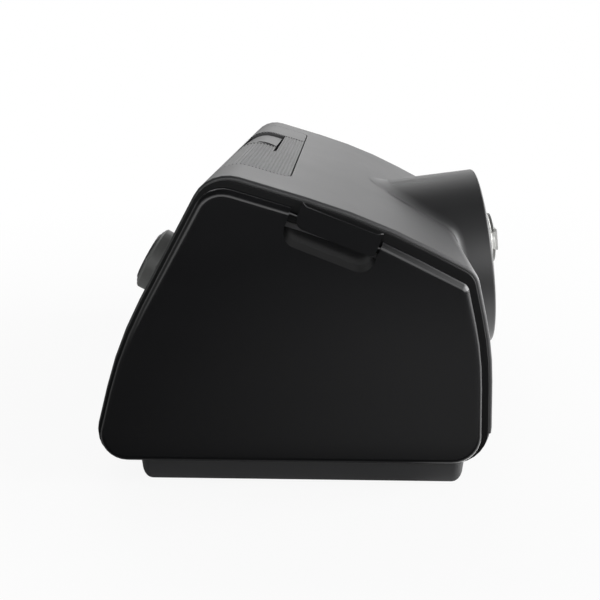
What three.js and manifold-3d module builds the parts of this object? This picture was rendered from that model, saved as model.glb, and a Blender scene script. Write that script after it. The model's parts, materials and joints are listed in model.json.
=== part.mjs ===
// A bench-top CPAP machine, in millimetres, with +Z up and the front towards -Y.
// The housing is one side profile drawn across the width, with a round control pod on its front.
// The end at -X is the dock for a humidifier, closed here by its flat side cover.

import * as THREE from 'three';
import { mergeVertices } from 'three/addons/utils/BufferGeometryUtils.js';
import Module from 'manifold-3d';

const wasm = await Module();
wasm.setup();

// Driving dimensions of the housing

const housingWidth = 200;
const housingDepth = 141.8;
const housingHeight = 102.9;
const undersideHeight = 8.1;
const seamHeight = 19.3;
const shellWall = 2.4;
const fitGap = 0.3;
const overrun = 5;

// Corners of the side profile, from the rear foot round to the front foot.
// Each is a share of the depth, from the rear, and a share of the height, from the underside.
const profileShares = [
  [0, 0],
  [0.093, 0.4275],
  [0.331, 1],
  [0.706, 0.841],
  [0.943, 0.667],
  [0.988, 0.406],
  [1, 0],
];
const rearFootRadius = 10.6;
const rearWallRadius = 150;
const rearTopRadius = 13;
const topRadius = 240;
const frontTopRadius = 8;
const frontRadius = 120;
const frontFootRadius = 12.7;
const cornerRadii = [
  rearFootRadius, rearWallRadius, rearTopRadius, topRadius, frontTopRadius, frontRadius, frontFootRadius,
];
const smallestRadius = 0.6;
const arcStep = THREE.MathUtils.degToRad(14);
const fewestArcSteps = 3;

// Steps round a full circle, for the pod and for large, middling and small round pieces
const podCircle = 60;
const largeCircle = 36;
const mediumCircle = 24;
const smallCircle = 12;

const rearY = housingDepth / 2;
const frontY = rearY - housingDepth;
const sidePack = 5;
const nearEnd = -(housingWidth - sidePack) / 2;
const farEnd = nearEnd + housingWidth;

const plinth = {
  rearSetback: 17.6,
  frontSetback: 8.9,
  draft: 1.5,
  cornerRadius: 4,
  planRadius: 4.5,
  clearOfBench: 0.8,
};

const colours = {
  shell: 0x1b1b1d,
  cover: 0x131315,
  innerPlastic: 0x2a2a2d,
  paleGrey: 0xb9bbb8,
  rubberGrey: 0x6d706f,
  darkRubber: 0x1a1a1a,
  steel: 0xa9abad,
  board: 0x1d5a35,
  foam: 0xe9e9e4,
  glass: 0x0a0c0f,
  silicone: 0xc9ccc9,
  ductPlastic: 0xd9d9d4,
};

// Solids

function weldedMesh(geometry) {
  const bare = geometry.clone();
  bare.deleteAttribute('normal');
  bare.deleteAttribute('uv');
  const merged = mergeVertices(bare);
  const index = merged.index.array;
  const kept = [];
  for (let corner = 0; corner < index.length; corner += 3) {
    const [a, b, c] = [index[corner], index[corner + 1], index[corner + 2]];
    if (a !== b && b !== c && c !== a) kept.push(a, b, c);
  }
  return {
    vertProperties: new Float32Array(merged.attributes.position.array), triVerts: new Uint32Array(kept),
  };
}

function solid(geometry) {
  const { vertProperties, triVerts } = weldedMesh(geometry);
  const body = new wasm.Manifold(new wasm.Mesh({ numProp: 3, vertProperties, triVerts }));
  if (body.volume() > 0) return body;
  const turned = triVerts.slice().reverse();
  return new wasm.Manifold(new wasm.Mesh({ numProp: 3, vertProperties, triVerts: turned }));
}

function placed(body, matrix) {
  return body.transform([...matrix.elements]);
}

function moved(body, x, y, z) {
  return placed(body, new THREE.Matrix4().makeTranslation(x, y, z));
}

function joined(...bodies) {
  return bodies.reduce((sum, body) => sum.add(body));
}

function cut(body, ...tools) {
  return tools.reduce((rest, tool) => rest.subtract(tool), body);
}

// A box from its lowest to its highest corner
function block(low, high) {
  const size = high.map((value, axis) => value - low[axis]);
  const middle = high.map((value, axis) => (value + low[axis]) / 2);
  return solid(new THREE.BoxGeometry(...size).translate(...middle));
}

// A cylinder along Z between two heights
function rod(radius, from, to, steps = mediumCircle) {
  const shape = new THREE.CylinderGeometry(radius, radius, to - from, steps);
  return solid(shape.rotateX(Math.PI / 2).translate(0, 0, (from + to) / 2));
}

// A solid of revolution about Z from a closed outline of [radius, height] pairs
function turnedSolid(outline, steps = mediumCircle) {
  const points = outline.map(([radius, height]) => new THREE.Vector2(radius, height));
  return solid(new THREE.LatheGeometry([...points, points[0]], steps).rotateX(Math.PI / 2));
}

// The same closed outline at several heights along Z, skinned and capped
function stacked(layers) {
  const count = layers[0].outline.length;
  const positions = layers.flatMap(({ outline, at }) => outline.flatMap((point) => [point.x, point.y, at]));
  const index = [];
  for (let layer = 0; layer + 1 < layers.length; layer += 1) {
    for (let side = 0; side < count; side += 1) {
      const a = layer * count + side;
      const b = layer * count + ((side + 1) % count);
      index.push(a, b, b + count, a, b + count, a + count);
    }
  }
  const top = (layers.length - 1) * count;
  for (const [a, b, c] of THREE.ShapeUtils.triangulateShape(layers[0].outline, [])) index.push(a, c, b);
  for (const [a, b, c] of THREE.ShapeUtils.triangulateShape(layers.at(-1).outline, [])) {
    index.push(top + a, top + b, top + c);
  }
  const geometry = new THREE.BufferGeometry();
  geometry.setAttribute('position', new THREE.Float32BufferAttribute(positions, 3));
  geometry.setIndex(index);
  return solid(geometry);
}

function slab(outline, from, to) {
  return stacked([{ outline, at: from }, { outline, at: to }]);
}

// Outlines

// Crossing of two lines, each given by a point and a direction
function crossing(pointA, directionA, pointB, directionB) {
  const between = pointB.clone().sub(pointA);
  const along = between.cross(directionB) / directionA.cross(directionB);
  return pointA.clone().addScaledVector(directionA, along);
}

// An anticlockwise polygon with its sides moved inwards and its corners rounded
function roundedOutline(corners, radii, insets) {
  const count = corners.length;
  const directions = corners.map(
    (corner, side) => corners[(side + 1) % count].clone().sub(corner).normalize(),
  );
  const shifted = corners.map((corner, side) => {
    const inward = new THREE.Vector2(-directions[side].y, directions[side].x);
    return corner.clone().addScaledVector(inward, insets[side]);
  });
  const outline = [];
  for (let index = 0; index < count; index += 1) {
    const before = (index + count - 1) % count;
    const vertex = crossing(shifted[before], directions[before], shifted[index], directions[index]);
    const turn = Math.acos(THREE.MathUtils.clamp(directions[before].dot(directions[index]), -1, 1));
    const radius = Math.max(radii[index] - (insets[before] + insets[index]) / 2, smallestRadius);
    const start = vertex.clone().addScaledVector(directions[before], -radius * Math.tan(turn / 2));
    const inward = new THREE.Vector2(-directions[before].y, directions[before].x);
    const centre = start.clone().addScaledVector(inward, radius);
    const steps = Math.max(Math.ceil(turn / arcStep), fewestArcSteps);
    for (let step = 0; step <= steps; step += 1) {
      outline.push(start.clone().rotateAround(centre, (turn * step) / steps));
    }
  }
  return outline;
}

const profileCorners = profileShares.map(
  ([along, up]) => new THREE.Vector2(rearY - along * housingDepth, undersideHeight + up * housingHeight),
);

// The housing's side profile, moved inwards by one amount or by one for each side
function profile(inset = 0) {
  const insets = Array.isArray(inset) ? inset : profileCorners.map(() => inset);
  return roundedOutline(profileCorners, cornerRadii, insets);
}

function roundedRectangle(width, height, radius) {
  const corners = [[-1, -1], [1, -1], [1, 1], [-1, 1]].map(
    ([across, up]) => new THREE.Vector2((across * width) / 2, (up * height) / 2),
  );
  return roundedOutline(corners, corners.map(() => radius), corners.map(() => 0));
}

// Frames

// Local x runs to the rear, y up and z along the width: the frame of everything drawn in the side profile
const sideFrame = new THREE.Matrix4().makeBasis(
  new THREE.Vector3(0, 1, 0), new THREE.Vector3(0, 0, 1), new THREE.Vector3(1, 0, 0),
);

function across(outline, from, to) {
  return placed(slab(outline, from, to), sideFrame);
}

const above = (height) => block(
  [nearEnd * 2, frontY * 2, height],
  [farEnd * 2, rearY * 2, height + housingHeight * 2],
);
const below = (height) => block(
  [nearEnd * 2, frontY * 2, height - housingHeight * 2],
  [farEnd * 2, rearY * 2, height],
);

// Model

const machine = new THREE.Group();

function piece(name, body, colour, roughness = 0.6, metalness = 0) {
  const mesh = body.getMesh();
  const geometry = new THREE.BufferGeometry();
  geometry.setAttribute('position', new THREE.Float32BufferAttribute(mesh.vertProperties, 3));
  geometry.setIndex(new THREE.Uint32BufferAttribute(mesh.triVerts, 1));
  const part = new THREE.Mesh(
    geometry, new THREE.MeshStandardMaterial({ color: colour, roughness, metalness }),
  );
  part.name = name;
  machine.add(part);
  return part;
}

// Control pod: a short barrel whose face leans back a little

const pod = {
  radius: 38.1,
  reach: 8.8,
  centreHeight: 58.4,
  depth: 60,
  rimRadius: 1,
  ledge: 1.6,
  tilt: THREE.MathUtils.degToRad(7),
};
const podNormal = new THREE.Vector3(0, -Math.cos(pod.tilt), Math.sin(pod.tilt));
const podUp = new THREE.Vector3(0, Math.sin(pod.tilt), Math.cos(pod.tilt));
const podFrame = new THREE.Matrix4()
  .makeBasis(new THREE.Vector3(1, 0, 0), podUp, podNormal)
  .setPosition(0, frontY - pod.reach, pod.centreHeight);

const bezel = {
  recess: 0.3,
  thickness: 2.4,
  postRadius: 3,
  postPlace: 30,
  postCount: 3,
  postTurn: THREE.MathUtils.degToRad(60),
};
const bezelBack = -bezel.recess - bezel.thickness;

function podBarrel(extra = 0) {
  const rim = [];
  const rimSteps = 3;
  for (let step = 0; step <= rimSteps; step += 1) {
    const angle = (Math.PI / 2) * (step / rimSteps);
    rim.push([
      pod.radius + extra - pod.rimRadius * (1 - Math.cos(angle)),
      -pod.rimRadius * (1 - Math.sin(angle)),
    ]);
  }
  const outline = [[0, -pod.depth], [pod.radius + extra, -pod.depth], ...rim, [0, 0]];
  return placed(turnedSolid(outline, podCircle), podFrame);
}

function podBore() {
  const mouth = pod.radius - shellWall;
  const throat = mouth - pod.ledge;
  const ledgeAt = bezelBack - fitGap;
  const outline = [
    [0, -pod.depth - overrun], [throat, -pod.depth - overrun], [throat, ledgeAt], [mouth, ledgeAt],
    [mouth, overrun], [0, overrun],
  ];
  return placed(turnedSolid(outline, podCircle), podFrame);
}

// Filter cap: wraps the rear top corner, between a seam on the top and one on the rear wall

const filterCap = {
  nearEdge: 28,
  width: 152,
  topShare: 0.464,
  rearShare: 0.55,
  thickness: 2.8,
  cornerRadius: 6,
  reachOut: 20,
  reachIn: 14,
  seamGap: 0.5,
  nearSeamGap: 1.2,
  ribPitch: 1.3,
  ribDepth: 0.32,
  ribsPastTab: 1.5,
  tabWidth: 61,
  tabNearEdge: 56,
  tabSetback: 9.9,
  tabDepth: 16,
  tabSlot: 1.1,
  tabDrop: 1.5,
  dishRadius: 7.2,
  dishPlace: 13.5,
  dishTilt: THREE.MathUtils.degToRad(9.5),
  endSlot: 2.2,
  slotPitch: 2.4,
  slotWidth: 1.4,
  slotLength: 50,
  slotPlace: 30,
  slotCount: 4,
};
const capNear = nearEnd + filterCap.nearEdge;
const capFar = capNear + filterCap.width;

function along(from, to, share) {
  return from.clone().lerp(to, share);
}

function outwardOf(from, to) {
  const direction = to.clone().sub(from).normalize();
  return new THREE.Vector2(direction.y, -direction.x);
}

const [, rearBend, rearTop, topBend] = profileCorners;
const topSeam = along(rearTop, topBend, filterCap.topShare);
const rearSeam = along(rearBend, rearTop, filterCap.rearShare);
const topOutward = outwardOf(rearTop, topBend);
const rearOutward = outwardOf(rearBend, rearTop);

// The wedge of the side profile that the cap fills, drawn in by a gap at both seams
function capWedge(gap) {
  const alongTop = topBend.clone().sub(rearTop).normalize();
  const alongRear = rearBend.clone().sub(rearTop).normalize();
  const top = topSeam.clone().addScaledVector(alongTop, -gap);
  const rear = rearSeam.clone().addScaledVector(alongRear, -gap);
  const cornerOut = rearTop.clone()
    .addScaledVector(topOutward, filterCap.reachOut)
    .addScaledVector(rearOutward, filterCap.reachOut);
  return [
    rear.clone().addScaledVector(rearOutward, filterCap.reachOut),
    cornerOut,
    top.clone().addScaledVector(topOutward, filterCap.reachOut),
    top.clone().addScaledVector(topOutward, -filterCap.reachIn),
    rear.clone().addScaledVector(rearOutward, -filterCap.reachIn),
  ];
}

// Walks an outline between two of its points and pushes every other step inwards, for ribs
function ribbed(outline, inset) {
  const inner = profile(inset);
  const result = [];
  const total = outline.length;
  for (let index = 0; index < total; index += 1) {
    const next = (index + 1) % total;
    const length = outline[index].distanceTo(outline[next]);
    const count = Math.max(Math.round(length / filterCap.ribPitch), 1);
    const { x, y } = outline[index];
    const onCap = y > rearSeam.y - filterCap.ribPitch && x > topSeam.x - filterCap.reachIn;
    if (!onCap) {
      result.push(outline[index]);
      continue;
    }
    for (let rib = 0; rib < count; rib += 1) {
      const ridge = outline[index].clone().lerp(outline[next], rib / count);
      const valley = inner[index].clone().lerp(inner[next], (rib + 0.5) / count);
      result.push(ridge, valley);
    }
  }
  return result;
}

// Local x runs along the width, y from the top seam to the rear and z out of the top
const capFrame = new THREE.Matrix4()
  .makeBasis(
    new THREE.Vector3(1, 0, 0),
    new THREE.Vector3(0, topOutward.y, -topOutward.x),
    new THREE.Vector3(0, topOutward.x, topOutward.y),
  )
  .setPosition(0, topSeam.x, topSeam.y);

// The region of the housing that the cap fills, with its two front corners rounded
function capRegion(gap, nearGap = gap, farGap = gap) {
  const { cornerRadius, reachOut } = filterCap;
  const corners = [
    new THREE.Vector2(capNear, 0), new THREE.Vector2(capFar, 0),
    new THREE.Vector2(capFar, housingDepth), new THREE.Vector2(capNear, housingDepth),
  ];
  const plan = roundedOutline(
    corners, [cornerRadius, cornerRadius, smallestRadius, smallestRadius], [gap, farGap, gap, nearGap],
  );
  return across(capWedge(gap), capNear - overrun, capFar + overrun)
    .intersect(placed(slab(plan, -reachOut * 2, reachOut), capFrame));
}

function filterCapBody() {
  const { seamGap, nearSeamGap, ribDepth, ribsPastTab } = filterCap;
  const ribs = joined(
    across(ribbed(profile(0), ribDepth), capNear, tabFar + ribsPastTab),
    across(profile(0), tabFar + ribsPastTab, capFar),
  );
  const crust = cut(
    joined(cut(ribs, tabArea(0)), tabEnd().intersect(tabArea(fitGap))),
    across(profile(filterCap.thickness), capNear - overrun, capFar + overrun),
  );
  return cut(
    crust.intersect(capRegion(seamGap, nearSeamGap, fitGap)), ...tabSlots(), fingerDish(), ...intakeSlots(),
  );
}

const tabNear = capNear + filterCap.tabNearEdge;
const tabFar = tabNear + filterCap.tabWidth;

// The U-shaped slot that frees the spring tab in the cap
function tabSlots() {
  const front = filterCap.tabSetback;
  const rear = front + filterCap.tabDepth;
  const slot = filterCap.tabSlot;
  const bottom = -filterCap.reachIn;
  return [
    block([tabNear, front, bottom], [tabFar, front + slot, filterCap.reachOut]),
    block([tabNear, rear - slot, bottom], [tabFar, rear, filterCap.reachOut]),
    block([tabFar - filterCap.endSlot, front, bottom], [tabFar, rear, filterCap.reachOut]),
  ].map((body) => placed(body, capFrame));
}

const smoothFrom = tabNear + filterCap.dishPlace;

// The smooth end of the tab keeps the housing's profile and sinks towards its free edge
function tabEnd() {
  return placed(stacked([
    { outline: profile(0), at: smoothFrom - fitGap },
    { outline: profile(0), at: smoothFrom },
    { outline: profile(filterCap.tabDrop), at: tabFar },
  ]), sideFrame);
}

// The space over the smooth end, out to the middle of the slots on either side of it
function tabArea(extra) {
  const { tabSetback, tabDepth, tabSlot, reachIn, reachOut } = filterCap;
  return placed(block(
    [smoothFrom - extra, tabSetback + tabSlot / 2, -reachIn],
    [tabFar, tabSetback + tabDepth - tabSlot / 2, reachOut],
  ), capFrame);
}

// A dish in the tab for a fingertip, deepest towards the far end
function fingerDish() {
  const { dishRadius, dishPlace, dishTilt, tabSetback, tabDepth, reachOut } = filterCap;
  const frame = capFrame.clone()
    .multiply(new THREE.Matrix4().makeTranslation(tabNear + dishPlace, tabSetback + tabDepth / 2, 0))
    .multiply(new THREE.Matrix4().makeRotationY(dishTilt));
  return placed(rod(dishRadius, 0, reachOut), frame);
}

// Intake slots along the cap's rear leg
function intakeSlots() {
  const upLeg = new THREE.Vector3(0, rearTop.x - rearSeam.x, rearTop.y - rearSeam.y).normalize();
  const outOfLeg = new THREE.Vector3(0, rearOutward.x, rearOutward.y);
  const frame = new THREE.Matrix4()
    .makeBasis(upLeg, new THREE.Vector3(-1, 0, 0), outOfLeg)
    .setPosition(0, rearSeam.x, rearSeam.y);
  const { slotPitch, slotWidth, slotLength, slotPlace, slotCount, reachIn, reachOut } = filterCap;
  const slots = [];
  for (let count = 1; count <= slotCount; count += 1) {
    const at = count * slotPitch;
    for (const side of [-1, 1]) {
      const middle = side * slotPlace - (capNear + capFar) / 2;
      slots.push(block(
        [at, middle - slotLength / 2, -reachIn], [at + slotWidth, middle + slotLength / 2, reachOut],
      ));
    }
  }
  return slots.map((body) => placed(body, frame));
}

// Air outlet: a nozzle square to the rear wall, in a stepped rubber collar

const outlet = {
  across: -17.5,
  wallShare: 0.09,
  nozzleRadius: 10.8,
  boreRadius: 8.8,
  nozzleProud: 10.9,
  nozzleIn: 12,
  collarRadius: 15.2,
  collarProud: 5,
  shoulderRadius: 13.8,
  shoulderProud: 9.5,
  lipRadius: 12,
  lipProud: 10.1,
  edge: 0.8,
};
const outletBase = along(rearBend, rearTop, outlet.wallShare);
const outletNormal = new THREE.Vector3(0, rearOutward.x, rearOutward.y);
const outletUp = new THREE.Vector3(0, rearTop.x - rearBend.x, rearTop.y - rearBend.y).normalize();
const outletFrame = new THREE.Matrix4()
  .makeBasis(outletUp.clone().cross(outletNormal), outletUp, outletNormal)
  .setPosition(outlet.across, outletBase.x, outletBase.y);

function outletNozzle() {
  const { nozzleRadius, boreRadius, nozzleProud, nozzleIn } = outlet;
  const edge = (nozzleRadius - boreRadius) / 4;
  return placed(turnedSolid([
    [boreRadius, -nozzleIn], [nozzleRadius, -nozzleIn], [nozzleRadius, nozzleProud - edge],
    [nozzleRadius - edge, nozzleProud], [boreRadius + edge, nozzleProud], [boreRadius, nozzleProud - edge],
  ]), outletFrame);
}

function outletCollar() {
  const {
    nozzleRadius, collarRadius, collarProud, shoulderRadius, shoulderProud, lipRadius, lipProud, edge,
  } = outlet;
  const bore = nozzleRadius + fitGap;
  const ring = placed(turnedSolid([
    [bore, -overrun], [collarRadius, -overrun], [collarRadius, collarProud - edge],
    [collarRadius - edge, collarProud], [shoulderRadius, collarProud],
    [shoulderRadius, shoulderProud - edge],
    [shoulderRadius - edge, shoulderProud], [lipRadius, shoulderProud], [lipRadius, lipProud],
    [bore, lipProud],
  ]), outletFrame);
  return cut(ring, across(profile(-fitGap), nearEnd, farEnd));
}

// Power inlet low on the rear wall

const inlet = {
  across: 70,
  height: 30,
  bodyWidth: 14,
  bodyHeight: 12,
  bodyDepth: 16,
  neckRadius: 5.4,
  boreRadius: 3.9,
  boreDepth: 12,
  pinRadius: 0.8,
  setIn: 5.4,
  neckOverlap: 1,
  neckSetIn: 1.2,
};
const inletX = inlet.across;
const inletWallY = crossing(
  profileCorners[0], rearBend.clone().sub(profileCorners[0]),
  new THREE.Vector2(0, inlet.height), new THREE.Vector2(1, 0),
).x;
const inletFrame = new THREE.Matrix4()
  .makeBasis(new THREE.Vector3(-1, 0, 0), new THREE.Vector3(0, 0, 1), new THREE.Vector3(0, 1, 0))
  .setPosition(inletX, inletWallY, inlet.height);

function powerSocket() {
  const { bodyWidth, bodyHeight, bodyDepth, boreRadius, boreDepth, pinRadius, setIn } = inlet;
  const { neckRadius, neckOverlap, neckSetIn } = inlet;
  const box = block(
    [-bodyWidth / 2, -bodyHeight / 2, -setIn - bodyDepth], [bodyWidth / 2, bodyHeight / 2, -setIn],
  );
  const neck = rod(neckRadius, -setIn - neckOverlap, -neckSetIn);
  const bore = rod(boreRadius, -boreDepth, overrun);
  const pinHole = rod(pinRadius + fitGap, -setIn - bodyDepth - overrun, overrun, smallCircle);
  return placed(cut(joined(box, neck), bore, pinHole), inletFrame);
}

function powerPin() {
  const body = rod(inlet.pinRadius, -inlet.setIn - inlet.bodyDepth, -inlet.setIn, smallCircle);
  return placed(body, inletFrame);
}

// Housing shells

const endRounding = 1.1;
const endRoundingSteps = 3;

// The housing's length with its near end edge rounded
function housingBlock(insets) {
  const layers = [{ outline: profile(insets), at: farEnd }];
  for (let step = 0; step <= endRoundingSteps; step += 1) {
    const angle = (Math.PI / 2) * (step / endRoundingSteps);
    const drawnIn = endRounding * (1 - Math.cos(angle));
    layers.push({
      outline: profile(insets.map((inset) => inset + drawnIn)),
      at: nearEnd + endRounding * (1 - Math.sin(angle)),
    });
  }
  return placed(stacked(layers), sideFrame);
}

function topShell() {
  const walls = cut(
    housingBlock(profileCorners.map(() => 0)),
    across(profile(shellWall), nearEnd - overrun, farEnd + overrun),
  ).intersect(above(seamHeight));
  const barrel = cut(podBarrel(), across(profile(shellWall), nearEnd - overrun, farEnd + overrun));
  const body = cut(joined(walls, barrel), podBore());
  return cut(
    body,
    capRegion(0),
    placed(rod(outlet.nozzleRadius + fitGap, -outlet.nozzleIn - overrun, overrun * 2), outletFrame),
    placed(rod(inlet.neckRadius + fitGap, -inlet.setIn - overrun, overrun * 2), inletFrame),
  );
}

const plinthRear = rearY - plinth.rearSetback;
const plinthFront = frontY + plinth.frontSetback;
const plinthFloor = plinth.clearOfBench + shellWall;
const trayFrontInset = 0.6;
const trayInsets = [0, 0, 0, 0, trayFrontInset, trayFrontInset, 0];
const rootedAt = plinthFloor - shellWall / 2;

function plinthOutline(inset, top) {
  const corners = [
    new THREE.Vector2(plinthFront + plinth.draft + inset, plinth.clearOfBench + inset),
    new THREE.Vector2(plinthRear - plinth.draft - inset, plinth.clearOfBench + inset),
    new THREE.Vector2(plinthRear - inset, top),
    new THREE.Vector2(plinthFront + inset, top),
  ];
  const { cornerRadius } = plinth;
  const lower = Math.max(cornerRadius - inset, smallestRadius);
  return roundedOutline(corners, [lower, lower, smallestRadius, smallestRadius], corners.map(() => 0));
}

// The plinth drawn in by an amount on every side, with its upright corners rounded
function plinthBlock(inset, top) {
  const plan = roundedRectangle(
    housingWidth - inset * 2, plinthRear - plinthFront - inset * 2,
    Math.max(plinth.planRadius - inset, smallestRadius),
  );
  const upright = moved(
    slab(plan, -overrun, top + overrun), (nearEnd + farEnd) / 2, (plinthRear + plinthFront) / 2, 0,
  );
  return across(plinthOutline(inset, top), nearEnd, farEnd).intersect(upright);
}

const foot = {
  length: 18,
  width: 7,
  seat: 1.1,
  rearPlace: 20,
  frontPlace: 14,
  endPlace: 12,
};
const footPlaces = [
  ['foot_near_rear', nearEnd + foot.endPlace, plinthRear - foot.rearPlace],
  ['foot_near_front', nearEnd + foot.endPlace, plinthFront + foot.frontPlace],
  ['foot_far_rear', farEnd - foot.endPlace, plinthRear - foot.rearPlace],
  ['foot_far_front', farEnd - foot.endPlace, plinthFront + foot.frontPlace],
];
const footTop = plinth.clearOfBench + foot.seat;

const screw = {
  headRadius: 3,
  headHeight: 1.6,
  shankRadius: 1.4,
  length: 12,
  bossRadius: 4.2,
  bossTop: 15.6,
  recess: 1,
  nearPlace: 30,
  farPlace: 20,
  sidePlace: 12,
  slot: 0.8,
  crossShare: 0.7,
};
const screwPlaces = [
  ['case_screw_1', nearEnd + screw.nearPlace, plinthRear - screw.sidePlace],
  ['case_screw_2', nearEnd + screw.nearPlace, plinthFront + screw.sidePlace],
  ['case_screw_3', farEnd - screw.farPlace, plinthRear - screw.sidePlace],
  ['case_screw_4', farEnd - screw.farPlace, plinthFront + screw.sidePlace],
];
const screwHeadTop = plinth.clearOfBench + screw.recess + screw.headHeight;

const mainBoard = {
  nearX: -34,
  width: 110,
  frontPlace: 15,
  depth: 34,
  height: 12,
  thickness: 1.6,
  postRadius: 2.6,
  postInset: 6,
  chipSize: 16,
  chipShares: [0.3, 0.5, 0.72],
  canRadius: 4,
  canHeight: 8,
  canShares: [0.84, 0.92],
};
const boardNear = mainBoard.nearX;
const boardFar = boardNear + mainBoard.width;
const boardFront = frontY + mainBoard.frontPlace;
const boardRear = boardFront + mainBoard.depth;

function baseTray() {
  const outer = joined(
    housingBlock(trayInsets).intersect(below(seamHeight - fitGap)),
    plinthBlock(0, undersideHeight + shellWall / 2),
  );
  const hollow = cut(
    outer,
    across(profile(shellWall), nearEnd - overrun, farEnd + overrun),
    plinthBlock(shellWall, undersideHeight + shellWall * 2),
    podBarrel(fitGap),
  );
  const bosses = screwPlaces.map(
    ([, x, y]) => moved(rod(screw.bossRadius, rootedAt, screw.bossTop, smallCircle), x, y, 0),
  );
  const { postInset, postRadius, height } = mainBoard;
  const post = rod(postRadius, rootedAt, height - fitGap, smallCircle);
  const posts = [boardNear + postInset, boardFar - postInset].flatMap(
    (x) => [boardFront + postInset, boardRear - postInset].map((y) => moved(post, x, y, 0)),
  );
  const screwHoles = screwPlaces.flatMap(([, x, y]) => [
    moved(rod(screw.shankRadius + fitGap, -overrun, screw.bossTop + overrun, smallCircle), x, y, 0),
    moved(rod(screw.headRadius + fitGap, -overrun, screwHeadTop + fitGap, smallCircle), x, y, 0),
  ]);
  const footSeats = footPlaces.map(([, x, y]) => moved(
    slab(
      roundedRectangle(foot.width + fitGap * 2, foot.length + fitGap * 2, foot.width / 2), -overrun,
      footTop + fitGap,
    ),
    x, y, 0,
  ));
  return cut(joined(hollow, ...bosses, ...posts), ...screwHoles, ...footSeats);
}

function caseScrew(x, y) {
  const headBottom = plinth.clearOfBench + screw.recess;
  const body = joined(
    rod(screw.headRadius, headBottom, screwHeadTop, smallCircle),
    rod(screw.shankRadius, screwHeadTop - screw.headHeight / 2, screwHeadTop + screw.length, smallCircle),
  );
  const { slot } = screw;
  const armLength = screw.headRadius * screw.crossShare;
  const cross = [[armLength, slot / 2], [slot / 2, armLength]].map(([wide, deep]) => block(
    [-wide, -deep, headBottom - overrun], [wide, deep, headBottom + slot],
  ));
  return moved(cut(body, ...cross), x, y, 0);
}

function rubberFoot(x, y) {
  const full = roundedRectangle(foot.width, foot.length, foot.width / 2);
  const edge = plinth.clearOfBench / 2;
  const sole = roundedRectangle(foot.width - edge * 2, foot.length - edge * 2, foot.width / 2 - edge);
  return moved(stacked([
    { outline: sole, at: 0 }, { outline: full, at: edge }, { outline: full, at: footTop },
  ]), x, y, 0);
}

// Far end wall with the memory card door

const endWall = {
  thickness: 3,
  setIn: 0.4,
};
const endWallOuter = farEnd - endWall.setIn;
const endWallInner = endWallOuter - endWall.thickness;

const cardDoor = {
  width: 30,
  height: 22,
  thickness: 2.4,
  bottom: 26,
  frontPlace: 41,
  pinRadius: 0.6,
  pinLength: 2,
  gripWidth: 9,
  gripDepth: 0.9,
};
const doorMiddle = frontY + cardDoor.frontPlace;
const doorAxisX = endWallOuter - cardDoor.thickness / 2;
const doorAxisZ = cardDoor.bottom + cardDoor.thickness / 2;

// Cylinder along Y between two places
function rodAlongY(radius, x, z, from, to, steps = smallCircle) {
  const frame = new THREE.Matrix4()
    .makeBasis(new THREE.Vector3(-1, 0, 0), new THREE.Vector3(0, 0, 1), new THREE.Vector3(0, 1, 0))
    .setPosition(x, 0, z);
  return placed(rod(radius, from, to, steps), frame);
}

// Cylinder along X between two places
function rodAlongX(radius, y, z, from, to, steps = mediumCircle) {
  return placed(rod(radius, from, to, steps), sideFrame.clone().setPosition(0, y, z));
}

function endWallBody() {
  const { width, height, bottom, pinRadius, pinLength } = cardDoor;
  const plate = across(profile(shellWall + fitGap), endWallInner, endWallOuter);
  const doorway = block(
    [endWallInner - overrun, doorMiddle - width / 2 - fitGap, bottom - fitGap],
    [endWallOuter + overrun, doorMiddle + width / 2 + fitGap, bottom + height + fitGap],
  );
  const reach = width / 2 + pinLength + fitGap;
  const pinHole = rodAlongY(
    pinRadius + fitGap, doorAxisX, doorAxisZ, doorMiddle - reach, doorMiddle + reach,
  );
  return cut(plate, doorway, pinHole);
}

function cardDoorBody() {
  const { width, height, thickness, bottom, pinRadius, pinLength, gripWidth, gripDepth } = cardDoor;
  const half = width / 2;
  const leaf = block(
    [endWallOuter - thickness, doorMiddle - half, doorAxisZ],
    [endWallOuter, doorMiddle + half, bottom + height],
  );
  const roll = rodAlongY(thickness / 2, doorAxisX, doorAxisZ, doorMiddle - half, doorMiddle + half);
  const pin = rodAlongY(
    pinRadius, doorAxisX, doorAxisZ, doorMiddle - half - pinLength, doorMiddle + half + pinLength,
  );
  const grip = block(
    [endWallOuter - gripDepth, doorMiddle - gripWidth / 2, bottom + height - gripDepth * 2],
    [endWallOuter + overrun, doorMiddle + gripWidth / 2, bottom + height + overrun],
  );
  return cut(joined(leaf, roll, pin), grip);
}

const cardReader = {
  width: 38,
  depth: 30,
  height: 6,
  slotWidth: 24.6,
  slotHeight: 2.8,
  slotDepth: 26,
};
const readerMiddleZ = cardDoor.bottom + cardDoor.height / 2;
const readerFace = endWallInner - fitGap;

function cardReaderBody() {
  const { width, depth, height, slotWidth, slotHeight, slotDepth } = cardReader;
  const box = block(
    [readerFace - depth, doorMiddle - width / 2, readerMiddleZ - height / 2],
    [readerFace, doorMiddle + width / 2, readerMiddleZ + height / 2],
  );
  const slot = block(
    [readerFace - slotDepth, doorMiddle - slotWidth / 2, readerMiddleZ - slotHeight / 2],
    [readerFace + overrun, doorMiddle + slotWidth / 2, readerMiddleZ + slotHeight / 2],
  );
  return cut(box, slot);
}

// Dock at the near end: frame, bay, side cover with its latch, and the duct that the cover carries

const dock = {
  frameRearInset: 0.8,
  frameInset: 1.5,
  frameBottomInset: 0.3,
  frameThickness: 1,
  sleeveDepth: 7,
  bayInset: 9,
  bayWall: 1.7,
  bayDepth: 56.5,
};
const frameInsets = [
  dock.frameRearInset, dock.frameRearInset, dock.frameInset, dock.frameInset, dock.frameInset,
  dock.frameInset, dock.frameBottomInset,
];
const frameFace = nearEnd - fitGap - dock.frameThickness;
const bayEnd = nearEnd + dock.bayDepth;
const bayBack = bayEnd - dock.bayWall;

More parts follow.
